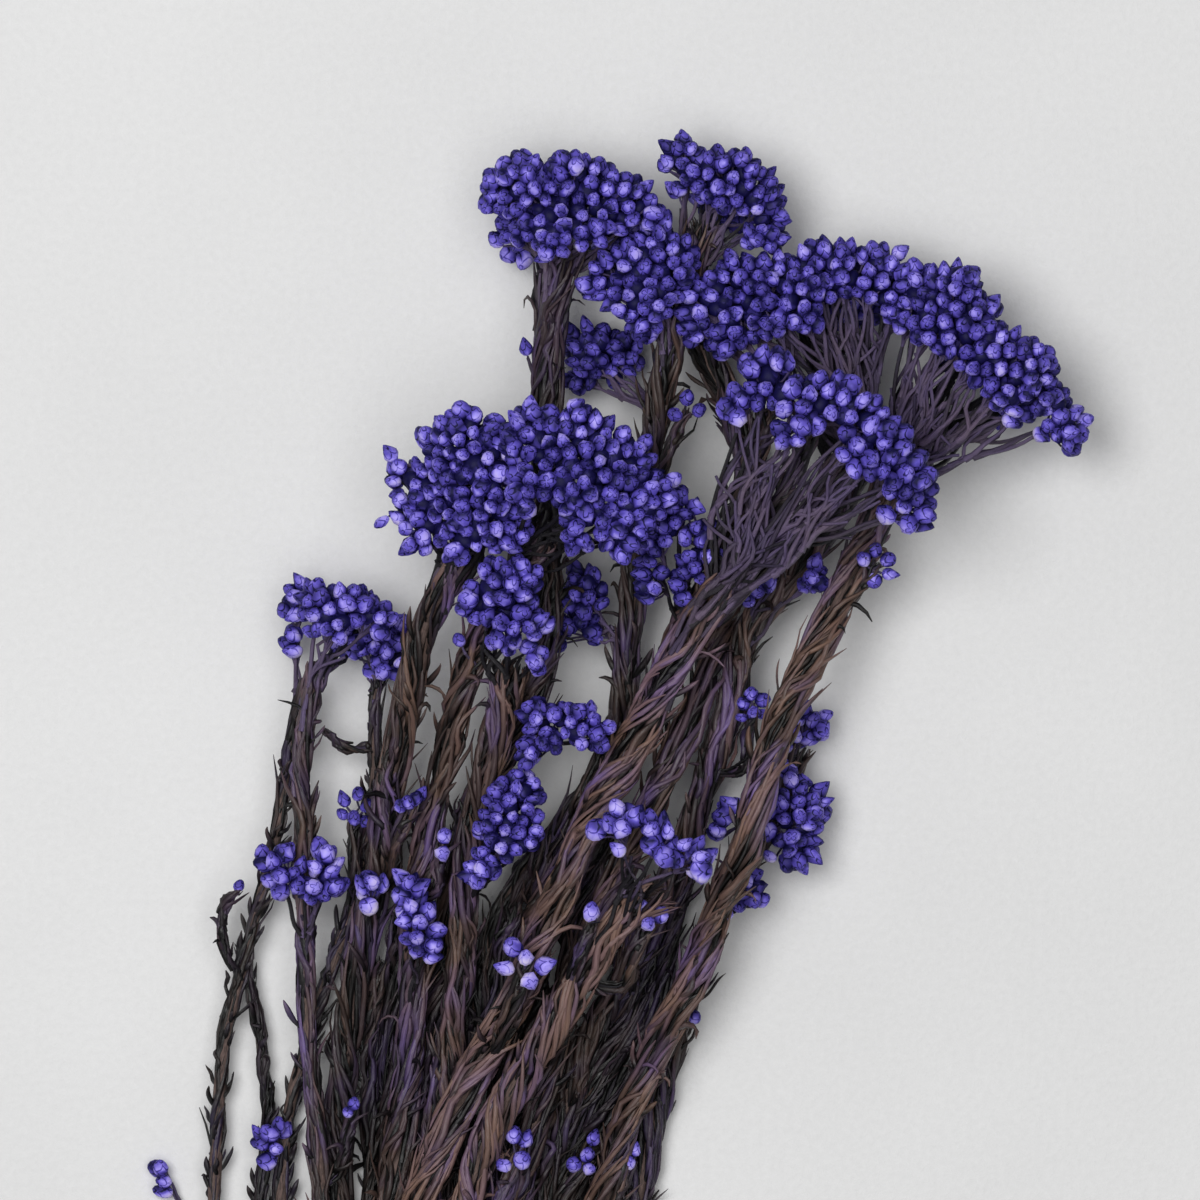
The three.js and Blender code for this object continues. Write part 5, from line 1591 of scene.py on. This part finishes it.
class RICEFLOWER_OT_stage(bpy.types.Operator):
    """Set out the table, the lights and the camera"""

    bl_idname = "riceflower.stage"
    bl_label = "Stage"

    def execute(self, context):
        settings = context.scene.rice_flower.stage
        self.lay_table(settings)
        self.hang_lights(context.scene, settings)
        self.set_camera(context.scene, settings)
        return {"FINISHED"}

    def lay_table(self, settings):
        """A flat table under the bunch."""
        mesh = bpy.data.meshes.new("table")
        half = TABLE_SIZE / 2
        corners = [(-half, -half, 0), (half, -half, 0), (half, half, 0), (-half, half, 0)]
        mesh.from_pydata(corners, [], [(0, 1, 2, 3)])
        mesh.materials.append(table_material(settings))
        table = linked("table", mesh)

    def hang_lights(self, scene, settings):
        """Two soft lights and an even light from all round."""
        for name, shape, size, power, place in (
            ("key_light", "DISK", KEY_SIZE, settings.key_power, KEY_PLACE),
            ("overhead_light", "SQUARE", SKY_SIZE, settings.sky_power, SKY_PLACE),
        ):
            light = bpy.data.lights.new(name, "AREA")
            light.shape = shape
            light.size = size
            light.energy = power
            lamp = linked(name, light)
            lamp.location = place
            target = Vector((*FRAME_CENTRE, LIT_HEIGHT))
            lamp.rotation_euler = (target - lamp.location).to_track_quat("-Z", "Y").to_euler()
        world = bpy.data.worlds.new("Studio")
        world.use_nodes = True
        backdrop = world.node_tree.nodes["Background"]
        backdrop.inputs["Color"].default_value = (1.0, 1.0, 1.0, 1.0)
        backdrop.inputs["Strength"].default_value = settings.fill
        scene.world = world
        scene.view_settings.view_transform = "Standard"

    def set_camera(self, scene, settings):
        """A camera that looks straight down."""
        camera = bpy.data.cameras.new("camera")
        camera.sensor_width = SENSOR
        distance = settings.camera_height - FOCUS_HEIGHT
        camera.lens = SENSOR * distance / settings.view_width
        camera.clip_end = 10.0
        stand = linked("camera", camera)
        stand.location = (*FRAME_CENTRE, settings.camera_height)
        scene.camera = stand


class RICEFLOWER_OT_stems(bpy.types.Operator):
    """Grow the woody stems"""

    bl_idname = "riceflower.stems"
    bl_label = "Stems"

    def execute(self, context):
        bark = material_of("Bark", bark_material, context.scene.rice_flower.stems)
        for label, _, line, rng in labelled():
            wood = Line(evenly(line.points, WOOD_STEP))
            share = wood.run / wood.length
            girth = WOOD_GIRTH_CUT + (WOOD_GIRTH_TIP - WOOD_GIRTH_CUT) * share
            girth = girth * (1 + 0.05 * np.sin(wood.run / 3.1) + rng.normal(0, 0.025, len(girth)))
            lead = wood.points[0] - wood.tangents[0] * np.array(CAP_OUT)[:, None]
            lead_girth = girth[0] * np.array(CAP_GIRTH)
            ring = np.concatenate([CAP_RING, np.ones(len(girth))])
            lines = [np.concatenate([lead, wood.points + wood.tangents * CAP_DEPTH])]
            normals = np.concatenate([wood.normals[:1].repeat(3, axis=0), wood.normals])
            run = np.concatenate([[0, 0, 0], wood.run])
            obj = line_mesh(
                f"wood_{label}", lines, girth=[np.concatenate([lead_girth, girth]) * MM],
                outward=[normals], ring=[ring], run=[run], tone=[np.full(len(run), rng.random())])
            grown(obj, tree_of(sweep_tree), {"Sides": WOOD_SIDES, "Material": bark})
            finished(obj, "stem_wood", f"stem_{label}")
        return {"FINISHED"}


class RICEFLOWER_OT_leaves(bpy.types.Operator):
    """Wrap the stems in their dry leaves"""

    bl_idname = "riceflower.leaves"
    bl_label = "Leaves"

    def execute(self, context):
        settings = context.scene.rice_flower.leaves
        leaves = material_of("Dry leaves", leaf_material, settings)
        for label, stem, line, rng in labelled():
            first = line.run[np.argmax(line.points[:, 1] > stem["bare"])]
            found = leaf_lines(line, first, line.length - LEAF_OVERHANG, stem, settings, rng)
            obj = leaf_piece(f"leafage_{label}", found, settings, leaves)
            finished(obj, "leaves", f"leaves_{label}")
        return {"FINISHED"}


def leaf_piece(name, found, settings, paint):
    """A swept piece for many leaves."""
    lines = list(found.pop("lines"))
    values = {key: list(rows) for key, rows in found.items()}
    obj = line_mesh(name, lines, **values)
    inputs = {"Sides": LEAF_SIDES, "Flatness": settings.thickness, "Material": paint}
    return grown(obj, tree_of(sweep_tree), inputs)


def stalk_piece(name, stalks, paint):
    """A swept piece for the stalks of one head."""
    lines = [Line(line) for line in stalks.lines]
    # Painted shade: the lower a stalk lies in its head, the darker its tone
    levels = np.array([line[:, 2].mean() for line in stalks.lines])
    light = 0.5 + (levels - np.median(levels)) / STALK_RELIEF
    light = light + stalks.rng.normal(0, 0.2, len(lines))
    obj = line_mesh(
        name, stalks.lines, girth=stalks.girths, outward=[line.normals for line in lines],
        share=stalks.shares, run=[line.run for line in lines],
        tone=[np.full(len(line.run), tone) for line, tone in zip(lines, np.clip(light, 0, 1))])
    inputs = {"Sides": STALK_SIDES, "Flatness": 1.0, "Material": paint}
    return grown(obj, tree_of(sweep_tree), inputs)


def bud_piece(name, middles, ways, sizes, depths, fade_and_shade, settings, rng):
    """The buds of one piece, without a place in the frame yet."""
    bases = middles - ways * sizes[:, None] * 0.5
    obj = bud_mesh(name, bases, ways, sizes, depths, fade_and_shade, rng)
    paint = material_of("Violet bracts", bud_material, settings)
    grown(obj, tree_of(bud_tree), {"Material": paint})
    # Painted shade where the buds meet
    paint_crevice_shade(obj, middles, sizes.mean())
    return obj


def head_pieces(name, node, line, head, settings, rng):
    """The buds and the stalks of one flower head or sprig, at the end of a line."""
    root = line.points[-1]
    buds = bud_places(root, head, settings.pitch, rng)
    owner, centres = clustered(buds, rng)
    count = len(buds.middles)
    away = unit(buds.middles - root)
    ways = unit(buds.faces + 0.5 * away + rng.normal(0, 0.16, (count, 3)))
    sizes = head["bud"] * rng.uniform(*BUD_SIZES, count) * np.where(buds.depths < 1, INNER_SIZE, 1)
    lowest = sizes * (BUD_REST + BUD_REST_TURNED * np.maximum(-ways[:, 2], 0))
    buds.middles[:, 2] = np.maximum(buds.middles[:, 2], lowest)
    bases = buds.middles - ways * sizes[:, None] * 0.5
    back = root - centres
    reach = np.linalg.norm(back, axis=1, keepdims=True)
    nodes = centres + unit(back) * np.minimum(NODE_BACK, NODE_SHARE * reach)
    nodes[:, 2] = np.maximum(nodes[:, 2] - NODE_DROP, NODE_HEIGHT)
    kept = [i for i in range(len(centres)) if (owner == i).any()]
    leaving = line.length - rng.uniform(0, head["fan"], len(kept))
    points, tangents, normals, binormals = line.at(leaving)
    aside = rng.uniform(0.3, 0.8, (2, len(kept), 1)) * head["leaf"]
    aside = aside * rng.choice((-1, 1), (2, len(kept), 1))
    starts = points + aside[0] * normals + aside[1] * binormals
    stalks = Stalks(rng)
    stalks.sheaf(starts, tangents, nodes[kept], [bases[owner == i] for i in kept], head["links"])
    paint = material_of("Flower stalks", stalk_material, settings)
    finished(stalk_piece(f"stalks_{name}", stalks, paint), "buds", node)
    obj = bud_piece(
        f"buds_{name}", buds.middles, ways, sizes, buds.depths, head["fade_and_shade"], settings, rng)
    finished(obj, "buds", node)


class RICEFLOWER_OT_heads(bpy.types.Operator):
    """Grow the flower heads at the tips of the stems"""

    bl_idname = "riceflower.heads"
    bl_label = "Flower heads"

    def execute(self, context):
        settings = context.scene.rice_flower.flowers
        for label, stem, line, rng in labelled():
            head_pieces(label, f"head_{label}", line, stem, settings, rng)
        return {"FINISHED"}


class RICEFLOWER_OT_sprigs(bpy.types.Operator):
    """Grow the smaller clusters that leave the stems lower down"""

    bl_idname = "riceflower.sprigs"
    bl_label = "Sprigs"

    def execute(self, context):
        settings = context.scene.rice_flower.flowers
        for number, sprig in enumerate(SPRIGS):
            rng = np.random.default_rng(SPRIG_SEED + number)
            flow = unit(np.mean(sprig["heights"], axis=0) - sprig["root"])
            line = Line([sprig["root"] - flow * step for step in (SPRIG_FAN, SPRIG_FAN / 2, 0)])
            name = sprig["name"].removeprefix("sprig_")
            head_pieces(name, sprig["name"], line, sprig | SPRIG_FOOT, settings, rng)
        return {"FINISHED"}


def rooted(course):
    """A twig's course, led out of the wood of the nearest stem."""
    ways = [line.points for _, _, line, _ in labelled()]
    gaps = [(np.linalg.norm(points - course[0], axis=1), points) for points in ways]
    gap, points = min(gaps, key=lambda pair: pair[0].min())
    return [points[max(0, np.argmin(gap) - ROOT_BACK)], *course]


class RICEFLOWER_OT_twigs(bpy.types.Operator):
    """Grow the small twigs that come up between the stems"""

    bl_idname = "riceflower.twigs"
    bl_label = "Twigs"

    def execute(self, context):
        bunch = context.scene.rice_flower
        leaves = material_of("Dry leaves", leaf_material, bunch.leaves)
        paint = material_of("Flower stalks", stalk_material, bunch.flowers)
        for number, twig in enumerate(TWIGS):
            rng = np.random.default_rng(TWIG_SEED + number)
            line = Line(spline(rooted(twig["course"]), TWIG_STEP))
            stalks = Stalks(rng)
            stalks.lines.append(line.points)
            stalks.girths.append(np.linspace(*TWIG_GIRTHS, len(line.points)) * MM)
            stalks.shares.append(np.linspace(0.0, 0.4, len(line.points)))
            tip, flow = line.points[-1], line.tangents[-1]
            if "buds" in twig:
                middles = np.array([bud[:3] for bud in twig["buds"]], float)
                sizes = np.array([bud[3] for bud in twig["buds"]], float)
                ways = unit(middles - tip + 0.6 * flow + 0.4 * UP)
                for base, way in zip(middles - ways * sizes[:, None] * 0.5, ways):
                    stalks.limb(tip, flow, base, way, *TWIG_FORK_GIRTHS, 0.4, 1.0)
                obj = bud_piece(
                    f"{twig['name']}_buds", middles, ways, sizes, np.ones(len(sizes)), twig["fade_and_shade"],
                    bunch.flowers, rng)
                finished(obj, "buds")
            finished(stalk_piece(twig["name"], stalks, paint), "buds")
            if twig["leaf"]:
                cover = TWIG_COVER | dict(leaf=twig["leaf"])
                last = max(line.length - LEAF_OVERHANG, 2)
                found = leaf_lines(line, 0, last, cover, bunch.leaves, rng)
                obj = leaf_piece(f"{twig['name']}_leafage", found, bunch.leaves, leaves)
                finished(obj, "leaves")
        return {"FINISHED"}


class RICEFLOWER_OT_band(bpy.types.Operator):
    """Wind the rubber band round the stems"""

    bl_idname = "riceflower.band"
    bl_label = "Band"

    def execute(self, context):
        settings = context.scene.rice_flower.band
        width = BAND_WIDTH / settings.turns
        half = (WOOD_IN_BAND + BAND_CLEARANCE) + BAND_THICKNESS / 2
        path = np.tile(self.loop(half), (settings.turns, 1))
        share = np.arange(len(path)) / len(path)
        back = smooth(share, BACK_FROM, 1.0)
        across = (share / BACK_FROM - 0.5) * (1 - back) - 0.5 * back
        shift = np.clip(across, -0.5, 0.5) * (BAND_WIDTH - width)
        outward = unit(path - path.mean(axis=0))
        lift = BACK_RISE * BAND_THICKNESS * np.sin(math.pi * smooth(share, RISE_FROM, 1.0))
        path = path + outward * lift[:, None]
        points = np.stack([path[:, 0], BAND_Y + shift, path[:, 1]], axis=1)
        points[:, 2] = np.maximum(points[:, 2], BAND_THICKNESS / 2)
        obj = self.strip(points, outward, width, settings)
        finished(obj, "band", "band")
        return {"FINISHED"}

    def loop(self, distance):
        """The tightest loop round the stems at a distance from their middles, in X and Z."""
        turn = np.linspace(0, 2 * math.pi, ROUND_STEM, endpoint=False)
        ring = distance * np.stack([np.cos(turn), np.sin(turn)], axis=1)
        spots = np.concatenate([np.array(place_in_band(stem, 1)) + ring for stem in STEMS])
        way = np.linspace(0, 2 * math.pi, LOOP_WAYS, endpoint=False)
        ways = np.stack([np.cos(way), np.sin(way)], axis=1)
        corners = spots[np.argmax(spots @ ways.T, axis=0)]
        kept = [corners[0]]
        for corner in corners[1:]:
            if np.linalg.norm(corner - kept[-1]) > 1e-6:
                kept.append(corner)
        closed = np.array([*kept, kept[0]])
        lengths = np.concatenate([[0], np.cumsum(np.linalg.norm(np.diff(closed, axis=0), axis=1))])
        even = np.linspace(0, lengths[-1], LOOP_POINTS, endpoint=False)
        return interpolated(closed, lengths, even)

    def strip(self, points, outward, width, settings):
        """A closed strip of rubber with rounded edges along a loop of points."""
        corners = []
        for turn in np.linspace(0, 2 * math.pi, SECTION_POINTS, endpoint=False):
            side = np.sign(math.cos(turn)) * abs(math.cos(turn)) ** SIDE_POWER
            rise = np.sign(math.sin(turn)) * abs(math.sin(turn)) ** RISE_POWER
            corners.append((side * (width / 2 - EDGE_GAP), rise * BAND_THICKNESS / 2))
        count, sides = len(points), len(corners)
        verts, faces = [], []
        for point, way in zip(points, outward):
            out = np.array((way[0], 0.0, way[1]))
            for across, rise in corners:
                verts.append(tuple((point + np.array((0.0, across, 0.0)) + out * rise) * MM))
        for i in range(count):
            after = (i + 1) % count
            for j in range(sides):
                beside = (j + 1) % sides
                faces.append((
                    i * sides + j, after * sides + j, after * sides + beside, i * sides + beside))
        mesh = bpy.data.meshes.new("rubber_band")
        mesh.from_pydata(verts, [], faces)
        mesh.shade_smooth()
        mesh.materials.append(rubber_material(settings))
        return linked("rubber_band", mesh)


class RICEFLOWER_PT_panel(bpy.types.Panel):
    """The settings and the steps of the bunch"""

    bl_idname = "RICEFLOWER_PT_panel"
    bl_label = "Rice Flower"
    bl_space_type = "VIEW_3D"
    bl_region_type = "UI"
    bl_category = "Rice Flower"

    def draw(self, context):
        """A box of settings for each part, then a button for each step."""
        settings = context.scene.rice_flower
        for title, group in (
            ("Stage", settings.stage), ("Stems", settings.stems), ("Leaves", settings.leaves),
            ("Flowers", settings.flowers), ("Band", settings.band),
        ):
            box = self.layout.box()
            box.label(text=title)
            for key in group.__annotations__:
                box.prop(group, key)
        for step in STEPS:
            self.layout.operator(step.bl_idname)


STEPS = (
    RICEFLOWER_OT_stage, RICEFLOWER_OT_stems, RICEFLOWER_OT_leaves, RICEFLOWER_OT_heads,
    RICEFLOWER_OT_sprigs, RICEFLOWER_OT_twigs, RICEFLOWER_OT_band)
CLASSES = (
    StemSettings, LeafSettings, FlowerSettings, BandSettings, StageSettings, BunchSettings,
    *STEPS, RICEFLOWER_PT_panel)


def register():
    """Adds the add-on's classes and settings."""
    for cls in CLASSES:
        bpy.utils.register_class(cls)
    bpy.types.Scene.rice_flower = bpy.props.PointerProperty(type=BunchSettings)


def unregister():
    """Takes them away again."""
    del bpy.types.Scene.rice_flower
    for cls in reversed(CLASSES):
        bpy.utils.unregister_class(cls)


def main():
    """Builds the bunch, with its table, lights and camera."""
    register()
    bpy.ops.riceflower.stage()
    bpy.ops.riceflower.stems()
    bpy.ops.riceflower.leaves()
    bpy.ops.riceflower.heads()
    bpy.ops.riceflower.sprigs()
    bpy.ops.riceflower.twigs()
    bpy.ops.riceflower.band()


if __name__ == "__main__":
    main()
